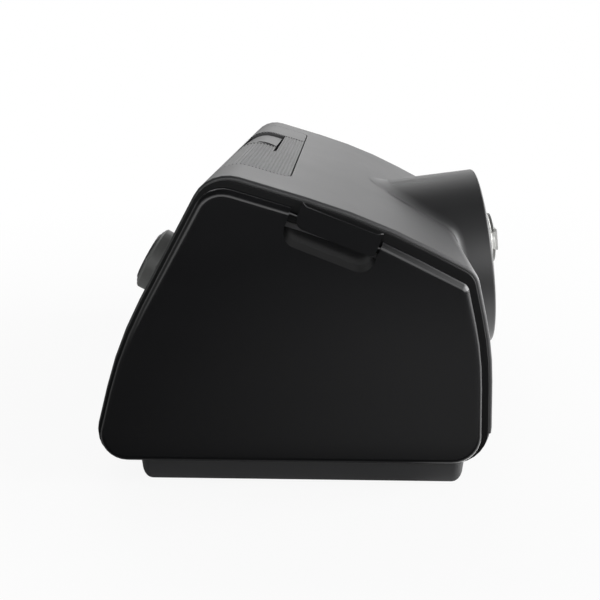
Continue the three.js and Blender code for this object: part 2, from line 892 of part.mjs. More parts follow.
function dockFrame() {
  return cut(
    joined(
      across(profile(frameInsets), frameFace, nearEnd - fitGap),
      across(profile(shellWall + fitGap), nearEnd - fitGap * 2, nearEnd + dock.sleeveDepth),
    ),
    across(profile(dock.bayInset), frameFace - overrun, nearEnd + dock.sleeveDepth + overrun),
  );
}

const port = {
  radius: 8.6,
  sealRadius: 12,
  sealThickness: 1.7,
};
const sealFace = bayBack - fitGap - port.sealThickness;

// Heights of the blower over its foot, as shares of the housing's height
const blowerShares = {
  lowerTop: 0.2527,
  top: 0.35,
  tube: 0.136,
};
const blowerBottom = 20;
const blower = {
  across: 45,
  middleY: 15.2,
  bottom: blowerBottom,
  lowerTop: blowerBottom + housingHeight * blowerShares.lowerTop,
  top: blowerBottom + housingHeight * blowerShares.top,
  radius: 32,
  wall: 2,
  tubeRadius: 9.6,
  tubeOffset: 21,
  tubeHeight: blowerBottom + housingHeight * blowerShares.tube,
  tubeReach: 38,
  inletRadius: 11,
  inletCollar: 3,
};
const blowerX = blower.across;
const blowerPort = new THREE.Vector2(blower.middleY - blower.tubeOffset, blower.tubeHeight);

const elbow = {
  run: 19,
  wall: 1.9,
  steps: 8,
};
const nozzleEnd = new THREE.Vector3(0, 0, -outlet.nozzleIn - fitGap).applyMatrix4(outletFrame);
const elbowTurn = nozzleEnd.clone().addScaledVector(outletNormal, -elbow.run);
const elbowEnd = new THREE.Vector3(bayEnd + fitGap, elbowTurn.y, elbowTurn.z);
const outletPort = new THREE.Vector2(elbowTurn.y, elbowTurn.z);

// A pipe with a clear bore along a curve
function pipe(curve, outerRadius, boreRadius, steps, sides) {
  const { normals, binormals } = curve.computeFrenetFrames(steps);
  const stations = Array.from({ length: steps + 1 }, (_, station) => station);
  const ring = (station, radius) => Array.from({ length: sides }, (_, side) => {
    const angle = (Math.PI * 2 * side) / sides;
    return curve.getPointAt(station / steps)
      .addScaledVector(normals[station], radius * Math.cos(angle))
      .addScaledVector(binormals[station], radius * Math.sin(angle))
      .toArray();
  });
  const rings = [
    ...stations.map((station) => ring(station, outerRadius)),
    ...stations.reverse().map((station) => ring(station, boreRadius)),
  ];
  const index = [];
  rings.forEach((_, row) => {
    const next = (row + 1) % rings.length;
    for (let side = 0; side < sides; side += 1) {
      const beside = (side + 1) % sides;
      const [a, b] = [row * sides + side, row * sides + beside];
      const [c, d] = [next * sides + beside, next * sides + side];
      index.push(a, b, c, a, c, d);
    }
  });
  const geometry = new THREE.BufferGeometry();
  geometry.setAttribute('position', new THREE.Float32BufferAttribute(rings.flat(2), 3));
  geometry.setIndex(index);
  return solid(geometry);
}

function outletElbow() {
  const curve = new THREE.QuadraticBezierCurve3(nozzleEnd, elbowTurn, elbowEnd);
  return pipe(curve, outlet.boreRadius + elbow.wall, outlet.boreRadius, elbow.steps, smallCircle);
}

function dockBay() {
  const tub = cut(
    across(profile(dock.bayInset + fitGap), nearEnd, bayEnd),
    across(profile(dock.bayInset + fitGap + dock.bayWall), nearEnd - overrun, bayBack),
  );
  const ports = [blowerPort, outletPort].map((place) => rodAlongX(
    port.radius, place.x, place.y, bayBack - overrun, bayEnd + overrun,
  ));
  return cut(tub, ...ports);
}

function portSeal(place) {
  const { radius, sealRadius, sealThickness } = port;
  const lip = sealThickness / 3;
  const ring = turnedSolid([
    [radius, 0], [sealRadius - lip, 0], [sealRadius, lip], [sealRadius, sealThickness],
    [radius, sealThickness],
  ], mediumCircle);
  return placed(ring, sideFrame.clone().setPosition(sealFace, place.x, place.y));
}

const heater = {
  width: 34,
  depth: 74,
  thickness: 1.5,
  cornerRadius: 8,
  place: 6,
};
const bayFloor = undersideHeight + dock.bayInset + fitGap + dock.bayWall;
const heaterTop = bayFloor + fitGap + heater.thickness;

function heaterPlate() {
  const middle = (nearEnd + bayBack) / 2;
  return moved(
    slab(
      roundedRectangle(heater.width, heater.depth, heater.cornerRadius), heaterTop - heater.thickness,
      heaterTop,
    ),
    middle, heater.place, 0,
  );
}

const cover = {
  thickness: 3.4,
  rearInset: 2,
  topInset: 3.8,
  browInset: 4.6,
  frontInset: 4,
  bottomInset: 1.2,
  edgeRadius: 2.6,
  edgeSteps: 4,
  rimDepth: 7,
  rimWall: 1.6,
};
const coverBack = frameFace - fitGap;
const coverFace = coverBack - cover.thickness;
const coverInsets = [
  cover.rearInset, cover.rearInset, cover.topInset, cover.browInset, cover.frontInset, cover.frontInset,
  cover.bottomInset,
];
const rimInset = dock.bayInset + dock.bayWall + fitGap * 2;

// The latch sits on the cover's upper edge: its line runs from a rear end to a front end
const latch = {
  rearShare: 0.571,
  length: 27.4,
  height: 7.3,
  aboveEdge: 2,
  thickness: 2,
  proud: 0.5,
  pinDown: 4.2,
  pinRadius: 0.7,
  pinReach: 2.2,
  earLength: 2.4,
  cornerRadius: 1.6,
  hornLength: 2.6,
  hornHeight: 1,
  hornRoot: 0.6,
  slope: THREE.MathUtils.degToRad(4.8),
};
const recess = {
  rearMargin: 2.6,
  frontMargin: 1,
  depth: 11.8,
  rise: 7.6,
  radius: 5,
  pocketDepth: 6,
  pocketWall: 1.4,
};
const [edgeRear, edgeFront] = [profileCorners[2], profileCorners[3]];
const edgeDirection = edgeFront.clone().sub(edgeRear).normalize();
const edgeOutward = outwardOf(edgeRear, edgeFront);
const latchDirection = edgeDirection.clone().rotateAround(new THREE.Vector2(), latch.slope);
const latchOutward = edgeOutward.clone().rotateAround(new THREE.Vector2(), latch.slope);
const latchRear = along(edgeRear, edgeFront, latch.rearShare).addScaledVector(edgeOutward, -cover.topInset);

// Local x runs along the latch to the front, y up out of the cover's edge and z out of the cover's face
const latchFrame = new THREE.Matrix4()
  .makeBasis(
    new THREE.Vector3(0, latchDirection.x, latchDirection.y),
    new THREE.Vector3(0, latchOutward.x, latchOutward.y),
    new THREE.Vector3(-1, 0, 0),
  )
  .setPosition(coverFace, latchRear.x, latchRear.y);
const latchPinZ = -cover.thickness / 2;
const latchPinY = latch.aboveEdge - latch.pinDown;

function rodAlongLatch(radius, from, to) {
  const frame = new THREE.Matrix4()
    .makeBasis(new THREE.Vector3(0, 1, 0), new THREE.Vector3(0, 0, 1), new THREE.Vector3(1, 0, 0))
    .setPosition(0, latchPinY, latchPinZ);
  return placed(placed(rod(radius, from, to, smallCircle), frame), latchFrame);
}

function recessOutline(grow) {
  const { rearMargin, frontMargin, depth, rise, radius } = recess;
  const corners = [
    new THREE.Vector2(-rearMargin - grow, -depth - grow),
    new THREE.Vector2(latch.length + frontMargin + grow, -depth - grow),
    new THREE.Vector2(latch.length + frontMargin + grow, rise),
    new THREE.Vector2(-rearMargin - grow, rise),
  ];
  return roundedOutline(corners, [radius, radius, smallestRadius, smallestRadius], corners.map(() => 0));
}

function sideCover() {
  const { thickness, edgeRadius, edgeSteps, rimDepth, rimWall } = cover;
  const layers = [{ outline: profile(coverInsets), at: coverBack }];
  for (let step = 0; step <= edgeSteps; step += 1) {
    const angle = (Math.PI / 2) * (step / edgeSteps);
    const drawnIn = edgeRadius * (1 - Math.cos(angle));
    layers.push({
      outline: profile(coverInsets.map((inset) => inset + drawnIn)),
      at: coverBack - thickness + edgeRadius * (1 - Math.sin(angle)),
    });
  }
  const plate = placed(stacked(layers), sideFrame);
  const inside = across(profile(rimInset), coverBack - thickness / 2, coverBack + rimDepth);
  const rim = cut(inside, across(profile(rimInset + rimWall), coverBack, coverBack + rimDepth + overrun));
  const { pocketDepth, pocketWall } = recess;
  const pocketShell = placed(
    slab(recessOutline(pocketWall), -thickness - pocketDepth - pocketWall, -thickness / 2), latchFrame,
  ).intersect(inside);
  const pocket = placed(slab(recessOutline(0), -thickness - pocketDepth, overrun), latchFrame);
  const { length, pinRadius, pinReach } = latch;
  const pinHole = rodAlongLatch(
    pinRadius + fitGap,
    -recess.rearMargin - pinReach - fitGap,
    length + recess.frontMargin + pinReach + fitGap,
  );
  return cut(joined(plate, rim, pocketShell), pocket, pinHole);
}

function latchTab() {
  const { length, height, aboveEdge, thickness, proud, cornerRadius, pinRadius, earLength } = latch;
  const { hornLength, hornHeight, hornRoot, pinReach } = latch;
  const corners = [
    new THREE.Vector2(0, aboveEdge - height), new THREE.Vector2(length, aboveEdge - height),
    new THREE.Vector2(length, aboveEdge), new THREE.Vector2(0, aboveEdge),
  ];
  const flap = slab(
    roundedOutline(
      corners, [cornerRadius * 2, cornerRadius, smallestRadius, smallestRadius], corners.map(() => 0),
    ),
    proud - thickness, proud,
  );
  const earRadius = pinRadius + thickness / 2;
  const ears = [[0, earLength], [length - earLength, length]].map(([from, to]) => {
    const frame = new THREE.Matrix4()
      .makeBasis(new THREE.Vector3(0, 1, 0), new THREE.Vector3(0, 0, 1), new THREE.Vector3(1, 0, 0))
      .setPosition(0, latchPinY, latchPinZ);
    return placed(rod(earRadius, from, to, smallCircle), frame);
  });
  const horns = [[0, hornLength, 0], [length - hornLength, length, length]].map(([from, to, tip]) => slab([
    new THREE.Vector2(from, aboveEdge - hornRoot), new THREE.Vector2(to, aboveEdge - hornRoot),
    new THREE.Vector2(tip, aboveEdge + hornHeight),
  ], proud - thickness, proud));
  const hole = rodAlongLatch(pinRadius + fitGap, -pinReach, length + pinReach);
  return cut(placed(joined(flap, ...ears, ...horns), latchFrame), hole);
}

function latchPin() {
  const { length, pinRadius, pinReach } = latch;
  return rodAlongLatch(pinRadius, -recess.rearMargin - pinReach, length + recess.frontMargin + pinReach);
}

const duct = {
  wall: 2,
  margin: 10.4,
};
const ductLow = [
  Math.min(blowerPort.x, outletPort.x) - duct.margin,
  Math.max(Math.min(blowerPort.y, outletPort.y) - duct.margin, heaterTop + fitGap),
];
const ductHigh = [
  Math.max(blowerPort.x, outletPort.x) + duct.margin, Math.max(blowerPort.y, outletPort.y) + duct.margin,
];

function bypassDuct() {
  const { wall } = duct;
  const from = coverBack + fitGap;
  const to = sealFace - fitGap;
  const box = block([from, ductLow[0], ductLow[1]], [to, ductHigh[0], ductHigh[1]]);
  const hollow = block(
    [from + wall, ductLow[0] + wall, ductLow[1] + wall],
    [to - wall, ductHigh[0] - wall, ductHigh[1] - wall],
  );
  const mouths = [blowerPort, outletPort].map((place) => rodAlongX(
    port.radius, place.x, place.y, to - wall - overrun, to + overrun,
  ));
  return cut(box, hollow, ...mouths);
}

// Blower

function blowerLower() {
  const { radius, wall, bottom, lowerTop, tubeRadius, tubeReach } = blower;
  const tubeFrom = blowerX - tubeReach;
  const bowl = moved(rod(radius, bottom, lowerTop, largeCircle), blowerX, blower.middleY, 0);
  const inside = moved(
    rod(radius - wall, bottom + wall, lowerTop + overrun, largeCircle), blowerX, blower.middleY, 0,
  );
  const tube = rodAlongX(tubeRadius, blowerPort.x, blowerPort.y, tubeFrom, blowerX);
  const bore = rodAlongX(tubeRadius - wall, blowerPort.x, blowerPort.y, tubeFrom - overrun, blowerX);
  return cut(joined(bowl, tube), inside, bore);
}

function blowerUpper() {
  const { radius, wall, lowerTop, top, inletRadius, inletCollar } = blower;
  const from = lowerTop + fitGap;
  const shoulder = (top - from) / 2;
  return moved(turnedSolid([
    [radius - wall, from], [radius, from], [radius, from + shoulder], [radius - shoulder, top],
    [inletRadius + wall, top], [inletRadius + wall, top + inletCollar], [inletRadius, top + inletCollar],
    [inletRadius, top - wall], [radius - shoulder - wall, top - wall],
    [radius - wall, from + shoulder - wall],
  ], largeCircle), blowerX, blower.middleY, 0);
}

const motor = {
  radius: 12,
  height: 8.6,
  edge: 1,
  shaftRadius: 1.5,
  shaftProud: 2.4,
};
const motorBottom = blower.bottom + blower.wall + fitGap;
const motorTop = motorBottom + motor.height;

const impeller = {
  radius: 26,
  clearance: 0.9,
  discThickness: 1.5,
  bladeHeight: 10,
  bladeThickness: 1.2,
  bladeCount: 9,
  bladeSweep: THREE.MathUtils.degToRad(35),
  bladeShare: 0.95,
  hubRadius: 6,
};
const discBottom = motorTop + impeller.clearance;
const bladeTop = discBottom + impeller.discThickness + impeller.bladeHeight;

function impellerBody() {
  const {
    radius, discThickness, bladeThickness, bladeCount, bladeSweep, bladeShare, hubRadius,
  } = impeller;
  const discTop = discBottom + discThickness;
  const bladeLength = (radius - hubRadius) * bladeShare;
  const blades = [];
  for (let count = 0; count < bladeCount; count += 1) {
    const blade = block(
      [0, -bladeThickness / 2, discTop - discThickness / 2], [bladeLength, bladeThickness / 2, bladeTop],
    );
    const turn = new THREE.Matrix4().makeRotationZ((Math.PI * 2 * count) / bladeCount)
      .multiply(new THREE.Matrix4().makeTranslation(hubRadius - bladeThickness, 0, 0))
      .multiply(new THREE.Matrix4().makeRotationZ(bladeSweep));
    blades.push(placed(blade, turn));
  }
  const body = joined(
    rod(radius, discBottom, discTop, mediumCircle), rod(hubRadius, discBottom, bladeTop, smallCircle),
    ...blades,
  );
  const bore = rod(motor.shaftRadius + fitGap, discBottom - overrun, bladeTop + overrun, smallCircle);
  return moved(cut(body, bore), blowerX, blower.middleY, 0);
}

function motorCan() {
  const bore = motor.shaftRadius + fitGap;
  const { edge } = motor;
  return moved(turnedSolid([
    [bore, motorBottom], [motor.radius - edge, motorBottom], [motor.radius, motorBottom + edge],
    [motor.radius, motorTop - edge], [motor.radius - edge, motorTop], [bore, motorTop],
  ], mediumCircle), blowerX, blower.middleY, 0);
}

function motorShaft() {
  return moved(
    rod(motor.shaftRadius, motorBottom + fitGap, bladeTop + motor.shaftProud, smallCircle),
    blowerX, blower.middleY, 0,
  );
}

const mountPost = {
  radius: 4,
  waist: 2.8,
  place: 26,
  count: 3,
};

function blowerMount(number) {
  const { radius, waist, place, count } = mountPost;
  const from = plinthFloor + fitGap;
  const to = blower.bottom - fitGap;
  const middle = (from + to) / 2;
  const angle = (Math.PI * 2 * number) / count;
  return moved(turnedSolid([
    [0, from], [radius, from], [radius, middle - radius / 2], [waist, middle],
    [radius, middle + radius / 2],
    [radius, to], [0, to],
  ], smallCircle), blowerX + place * Math.cos(angle), blower.middleY + place * Math.sin(angle), 0);
}

const cuff = {
  wall: 1.4,
  ribHeight: 1.2,
  ribCount: 3,
};
const cuffFrom = bayEnd + fitGap;
const cuffTo = blowerX - blower.tubeReach - fitGap;

function outletCuff() {
  const inner = blower.tubeRadius - blower.wall;
  const outer = inner + cuff.wall;
  const length = cuffTo - cuffFrom;
  const pitch = length / (cuff.ribCount + 1);
  const outline = [[inner, 0], [outer, 0]];
  for (let rib = 1; rib <= cuff.ribCount; rib += 1) {
    const at = rib * pitch;
    outline.push([outer, at - cuff.ribHeight], [outer + cuff.ribHeight, at], [outer, at + cuff.ribHeight]);
  }
  outline.push([outer, length], [inner, length]);
  return placed(
    turnedSolid(outline, mediumCircle), sideFrame.clone().setPosition(cuffFrom, blowerPort.x, blowerPort.y),
  );
}

// Intake: foam in a tray under the cap, and a duct down to the blower

const tray = {
  width: 62,
  rearPlace: 4,
  depth: 32,
  belowTop: 21,
  height: 14,
  wall: 1.6,
  foamHeight: 8,
  hole: 11,
};
const trayNear = blowerX - tray.width / 2;
const trayFar = trayNear + tray.width;
const trayRear = rearTop.x + tray.rearPlace;
const trayFront = trayRear - tray.depth;
const trayTop = rearTop.y - tray.belowTop;
const trayBottom = trayTop - tray.height;

function filterTray() {
  const { wall, hole } = tray;
  const box = block([trayNear, trayFront, trayBottom], [trayFar, trayRear, trayTop]);
  const inside = block(
    [trayNear + wall, trayFront + wall, trayBottom + wall],
    [trayFar - wall, trayRear - wall, trayTop + overrun],
  );
  const opening = moved(
    rod(hole, trayBottom - overrun, trayBottom + overrun), blowerX, blower.middleY, 0,
  );
  return cut(box, inside, opening);
}

function filterFoam() {
  const { wall, foamHeight } = tray;
  const from = trayTop - foamHeight;
  const edge = wall / 2;
  const width = trayFar - trayNear - wall * 2 - fitGap * 2;
  const depth = trayRear - trayFront - wall * 2 - fitGap * 2;
  const full = roundedRectangle(width, depth, wall);
  const drawn = roundedRectangle(width - edge * 2, depth - edge * 2, wall);
  return moved(stacked([
    { outline: drawn, at: Math.max(from, trayBottom + wall + fitGap) }, { outline: full, at: from + edge },
    { outline: full, at: trayTop - edge }, { outline: drawn, at: trayTop },
  ]), (trayNear + trayFar) / 2, (trayFront + trayRear) / 2, 0);
}

function inletDuct() {
  const { inletRadius, wall, top, inletCollar } = blower;
  const from = top + inletCollar + fitGap;
  const to = trayBottom - fitGap;
  const outer = inletRadius + wall;
  return moved(turnedSolid([
    [inletRadius, from], [outer, from], [outer, (from + to) / 2], [outer + wall, to], [inletRadius, to],
  ], mediumCircle), blowerX, blower.middleY, 0);
}

// Boards and sensor

function mainBoardBody() {
  const { height, thickness, chipSize, chipShares, canRadius, canHeight, canShares } = mainBoard;
  const top = height + thickness;
  const sunk = top - thickness / 2;
  const plate = block([boardNear, boardFront, height], [boardFar, boardRear, top]);
  const middleY = (boardFront + boardRear) / 2;
  const chips = chipShares.map((share) => {
    const x = THREE.MathUtils.lerp(boardNear, boardFar, share);
    return block(
      [x - chipSize / 2, middleY - chipSize / 2, sunk],
      [x + chipSize / 2, middleY + chipSize / 2, top + thickness],
    );
  });
  const cans = canShares.map((share) => moved(
    rod(canRadius, sunk, top + canHeight, smallCircle),
    THREE.MathUtils.lerp(boardNear, boardFar, share), boardFront + canRadius * 2, 0,
  ));
  const notches = screwPlaces.map(([, x, y]) => moved(
    rod(screw.bossRadius + fitGap, height - overrun, top + canHeight + overrun, smallCircle), x, y, 0,
  ));
  return cut(joined(plate, ...chips, ...cans), ...notches);
}

const sensor = {
  width: 10,
  depth: 8,
  height: 6,
  boardShare: 0.1,
  nippleRadius: 1.1,
  nippleLength: 3,
  hoseRadius: 2.4,
  hoseBore: 1.6,
  hoseLead: 9,
  tapShare: 0.375,
  steps: 10,
  sides: 7,
};
const sensorX = THREE.MathUtils.lerp(boardNear, boardFar, sensor.boardShare);
const sensorY = boardRear - sensor.depth;
const sensorBottom = mainBoard.height + mainBoard.thickness + fitGap;
const sensorTop = sensorBottom + sensor.height;

function pressureSensor() {
  const { width, depth, nippleRadius, nippleLength } = sensor;
  const box = block(
    [sensorX - width / 2, sensorY - depth / 2, sensorBottom],
    [sensorX + width / 2, sensorY + depth / 2, sensorTop],
  );
  const nipple = rod(nippleRadius, sensorTop - nippleRadius, sensorTop + nippleLength, smallCircle);
  return joined(box, moved(nipple, sensorX, sensorY, 0));
}

function sensorHose() {
  const { hoseRadius, hoseBore, hoseLead, steps, sides, nippleLength } = sensor;
  const cuffOuter = blower.tubeRadius - blower.wall + cuff.wall;
  const target = new THREE.Vector3(
    THREE.MathUtils.lerp(cuffFrom, cuffTo, sensor.tapShare), blowerPort.x - cuffOuter - fitGap,
    blowerPort.y,
  );
  const start = new THREE.Vector3(sensorX, sensorY, sensorTop + fitGap);
  const rise = new THREE.Vector3(sensorX, sensorY, target.z + nippleLength);
  const turn = new THREE.Vector3(target.x, target.y - hoseLead, target.z);
  const curve = new THREE.CubicBezierCurve3(start, rise, turn, target);
  return pipe(curve, hoseRadius, hoseBore, steps, sides);
}

// Control face

const display = {
  x: 11,
  y: 1,
  width: 32,
  height: 25,
  cornerRadius: 2.5,
  glassThickness: 1.2,
  glassSetIn: 0.1,
  frame: 1.6,
  moduleThickness: 4,
  boardRadius: 33,
  boardThickness: 1.6,
  boardBehind: 5.6,
};
const knob = {
  x: -18.2,
  y: 12.1,
  radius: 10.7,
  ringTop: 1.6,
  coneRadius: 10.3,
  coneTop: 2.8,
  domeRadius: 8,
  domeTop: 3.5,
  barTop: 3.9,
  barLength: 19.4,
  barFoot: 6.2,
  barHead: 8.6,
  barShift: 0.9,
  faceGap: 0.9,
  shaftRadius: 3,
  shaftDepth: 1.8,
  press: 0.6,
};
const homeButton = {
  name: 'home_button', x: -19, y: -9.5, radius: 5, proud: 0.7, press: 0.9,
};
const startButton = {
  name: 'start_button', x: 2, y: -24.6, radius: 6.4, proud: 0.7, press: 0.9,
};
const buttonFlange = {
  margin: 1.2,
  thickness: 1,
};
const boardFace = bezelBack - display.boardBehind;
const encoderSize = {
  width: 12,
  height: 4.6,
  floor: 1.5,
};

function podBezel() {
  const radius = pod.radius - shellWall - fitGap;
  const disc = rod(radius, bezelBack, -bezel.recess, podCircle);
  const posts = [];
  for (let count = 0; count < bezel.postCount; count += 1) {
    const angle = (Math.PI * 2 * count) / bezel.postCount + bezel.postTurn;
    posts.push(moved(
      rod(bezel.postRadius, boardFace + fitGap, bezelBack + bezel.thickness / 2, smallCircle),
      bezel.postPlace * Math.cos(angle), bezel.postPlace * Math.sin(angle), 0,
    ));
  }
  const window = moved(
    slab(
      roundedRectangle(display.width + fitGap * 2, display.height + fitGap * 2, display.cornerRadius),
      bezelBack - overrun, overrun,
    ),
    display.x, display.y, 0,
  );
  const holes = [homeButton, startButton].map((button) => moved(
    rod(button.radius + fitGap, bezelBack - overrun, overrun), button.x, button.y, 0,
  ));
  const shaftHole = moved(rod(knob.shaftRadius + fitGap, bezelBack - overrun, overrun), knob.x, knob.y, 0);
  return placed(cut(joined(disc, ...posts), window, ...holes, shaftHole), podFrame);
}

function displayWindow() {
  const front = -bezel.recess - display.glassSetIn;
  return placed(moved(
    slab(
      roundedRectangle(display.width, display.height, display.cornerRadius), front - display.glassThickness,
      front,
    ),
    display.x, display.y, 0,
  ), podFrame);
}

function displayModule() {
  const { width, height, frame, moduleThickness, glassSetIn, glassThickness } = display;
  const back = bezelBack - fitGap - moduleThickness;
  const screenFront = -bezel.recess - glassSetIn - glassThickness - fitGap;
  const body = joined(
    block(
      [-width / 2 - frame, -height / 2 - frame, back],
      [width / 2 + frame, height / 2 + frame, bezelBack - fitGap],
    ),
    slab(roundedRectangle(width, height, display.cornerRadius), bezelBack - fitGap * 2, screenFront),
  );
  return placed(moved(body, display.x, display.y, 0), podFrame);
}

function displayBoard() {
  const { boardRadius, boardThickness } = display;
  return placed(rod(boardRadius, boardFace - boardThickness, boardFace, mediumCircle), podFrame);
}

function encoderBody() {
  const { width, height, floor } = encoderSize;
  const box = block(
    [-width / 2, -width / 2, boardFace + fitGap], [width / 2, width / 2, boardFace + fitGap + height],
  );
  const bore = rod(knob.shaftRadius + fitGap, boardFace + fitGap * 2 + floor, overrun, smallCircle);
  return placed(moved(cut(box, bore), knob.x, knob.y, 0), podFrame);
}

const shaftBottom = boardFace + encoderSize.floor + fitGap * 3 + knob.press;
const shaftTop = -bezel.recess + knob.faceGap + knob.shaftDepth;

function encoderShaft() {
  return placed(
    moved(rod(knob.shaftRadius, shaftBottom, shaftTop - fitGap, smallCircle), knob.x, knob.y, 0), podFrame,
  );
}

// The bar across the knob is wider at its top than at its foot, for the fingers to hold
function knobBody() {
  const face = -bezel.recess;
  const { radius, ringTop, coneRadius, coneTop, domeRadius, domeTop, faceGap } = knob;
  const { barTop, barLength, barFoot, barHead, barShift } = knob;
  const edge = (radius - coneRadius) / 2;
  const skirt = turnedSolid([
    [0, face + faceGap], [radius, face + faceGap], [radius, face + ringTop - edge],
    [radius - edge, face + ringTop], [coneRadius, face + ringTop], [coneRadius - edge, face + coneTop],
    [domeRadius, face + domeTop], [0, face + domeTop],
  ], largeCircle);
  const foot = roundedRectangle(barLength, barFoot, smallestRadius);
  const head = roundedRectangle(barLength, barHead, smallestRadius);
  const bar = moved(stacked([
    { outline: foot, at: face + faceGap + edge },
    { outline: foot, at: face + ringTop },
    { outline: head, at: face + barTop - edge * 2 },
    { outline: head, at: face + barTop },
  ]), 0, barShift, 0);
  const bore = rod(knob.shaftRadius + fitGap, face - overrun, shaftTop, smallCircle);
  return placed(moved(cut(joined(skirt, bar), bore), knob.x, knob.y, 0), podFrame);
}

function pushButton({ x, y, radius, proud, press }) {
  const front = -bezel.recess + proud;
  const edge = proud / 2;
  const flangeTop = bezelBack - fitGap;
  const body = turnedSolid([
    [0, flangeTop - buttonFlange.thickness - press],
    [radius / 2, flangeTop - buttonFlange.thickness - press],
    [radius / 2, flangeTop - buttonFlange.thickness],
    [radius + buttonFlange.margin, flangeTop - buttonFlange.thickness],
    [radius + buttonFlange.margin, flangeTop], [radius, flangeTop], [radius, front - edge],
    [radius - edge, front], [0, front],
  ], mediumCircle);
  return placed(moved(body, x, y, 0), podFrame);
}

// Assembly

piece('top_shell', topShell(), colours.shell, 0.5);
piece('base_tray', baseTray(), colours.shell, 0.55);
footPlaces.forEach(([name, x, y]) => piece(name, rubberFoot(x, y), colours.darkRubber, 0.85));
screwPlaces.forEach(([name, x, y]) => piece(name, caseScrew(x, y), colours.steel, 0.35, 1));
piece('end_wall', endWallBody(), colours.shell, 0.5);
piece('card_door', cardDoorBody(), colours.shell, 0.5);
piece('card_reader', cardReaderBody(), colours.steel, 0.4, 1);
piece('dock_frame', dockFrame(), colours.cover, 0.6);
piece('dock_bay', dockBay(), colours.innerPlastic, 0.6);
piece('blower_port_seal', portSeal(blowerPort), colours.darkRubber, 0.8);
piece('outlet_port_seal', portSeal(outletPort), colours.darkRubber, 0.8);
piece('heater_plate', heaterPlate(), colours.steel, 0.4, 1);
piece('side_cover', sideCover(), colours.cover, 0.55);
piece('latch_tab', latchTab(), colours.cover, 0.5);
piece('latch_pin', latchPin(), colours.steel, 0.4, 1);
piece('bypass_duct', bypassDuct(), colours.innerPlastic, 0.6);
piece('outlet_elbow', outletElbow(), colours.ductPlastic, 0.5);
piece('outlet_nozzle', outletNozzle(), colours.rubberGrey, 0.6);
piece('outlet_collar', outletCollar(), colours.rubberGrey, 0.7);
piece('filter_cap', filterCapBody(), colours.shell, 0.55);
piece('filter_tray', filterTray(), colours.innerPlastic, 0.6);
piece('filter_foam', filterFoam(), colours.foam, 0.95);
piece('inlet_duct', inletDuct(), colours.silicone, 0.7);
piece('blower_lower', blowerLower(), colours.ductPlastic, 0.5);
piece('blower_upper', blowerUpper(), colours.ductPlastic, 0.5);
piece('impeller', impellerBody(), colours.paleGrey, 0.5);
piece('motor_can', motorCan(), colours.steel, 0.35, 1);
piece('motor_shaft', motorShaft(), colours.steel, 0.3, 1);
for (let number = 0; number < mountPost.count; number += 1) {
  piece(`blower_mount_${number + 1}`, blowerMount(number), colours.darkRubber, 0.85);
}
piece('outlet_cuff', outletCuff(), colours.silicone, 0.7);
piece('main_board', mainBoardBody(), colours.board, 0.5);
piece('pressure_sensor', pressureSensor(), colours.innerPlastic, 0.5);
piece('sensor_hose', sensorHose(), colours.silicone, 0.6);
piece('power_socket', powerSocket(), colours.innerPlastic, 0.5);
piece('power_pin', powerPin(), colours.steel, 0.3, 1);
piece('pod_bezel', podBezel(), colours.cover, 0.4);
piece('display_window', displayWindow(), colours.glass, 0.1);
piece('display_module', displayModule(), colours.innerPlastic, 0.4);
piece('display_board', displayBoard(), colours.board, 0.5);
piece('encoder', encoderBody(), colours.steel, 0.4, 1);
piece('encoder_shaft', encoderShaft(), colours.steel, 0.3, 1);
piece('knob', knobBody(), colours.paleGrey, 0.45);
[homeButton, startButton].forEach(
  (button) => piece(button.name, pushButton(button), colours.paleGrey, 0.5),
);

// The origin is the middle of the footprint, on the bench
const bounds = new THREE.Box3().setFromObject(machine);
const middle = bounds.getCenter(new THREE.Vector3());
machine.position.set(-middle.x, -middle.y, -bounds.min.z);

export default machine;
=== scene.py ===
"""Looks of a bench-top breathing machine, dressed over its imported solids.

Metres, +Z up. The control pod faces -Y, the side cover faces -X and the air outlet stands on the rear wall.
"""
import json
import math

import bmesh
import bpy
from mathutils import Matrix, Vector


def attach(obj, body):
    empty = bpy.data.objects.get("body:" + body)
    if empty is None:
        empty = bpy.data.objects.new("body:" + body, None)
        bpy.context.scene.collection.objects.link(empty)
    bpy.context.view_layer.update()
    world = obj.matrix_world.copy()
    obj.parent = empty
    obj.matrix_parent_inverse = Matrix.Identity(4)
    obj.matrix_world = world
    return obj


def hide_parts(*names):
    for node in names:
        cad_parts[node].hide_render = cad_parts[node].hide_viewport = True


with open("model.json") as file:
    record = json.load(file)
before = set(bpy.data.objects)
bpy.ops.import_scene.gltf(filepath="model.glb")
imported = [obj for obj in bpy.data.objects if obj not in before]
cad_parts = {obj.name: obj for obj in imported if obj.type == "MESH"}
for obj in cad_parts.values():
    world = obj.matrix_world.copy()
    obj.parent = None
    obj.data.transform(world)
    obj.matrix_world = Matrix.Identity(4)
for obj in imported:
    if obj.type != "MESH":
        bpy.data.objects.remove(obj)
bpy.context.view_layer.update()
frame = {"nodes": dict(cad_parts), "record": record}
nodes = frame["nodes"]
scene = bpy.context.scene
MM = 0.001
TINY = 1e-9

# Camera
CAMERA_PLACE = Vector((-0.35811, -0.011131, 0.14653))
CAMERA_RIGHT = Vector((0.048647, -0.998739, -0.012384))
CAMERA_UP = Vector((0.290725, 0.002296, 0.956804))
LENS_MM, SENSOR_MM = 49.5, 36.0
CLIP_NEAR, CLIP_FAR = 0.01, 50.0


def make_camera():
    data = bpy.data.cameras.new("camera")
    data.lens, data.sensor_width = LENS_MM, SENSOR_MM
    data.clip_start, data.clip_end = CLIP_NEAR, CLIP_FAR
    camera = bpy.data.objects.new("camera", data)
    scene.collection.objects.link(camera)
    back = CAMERA_RIGHT.cross(CAMERA_UP)
    turn = Matrix((CAMERA_RIGHT, CAMERA_UP, back)).transposed()
    camera.matrix_world = Matrix.Translation(CAMERA_PLACE) @ turn.to_4x4()
    scene.camera = camera


make_camera()


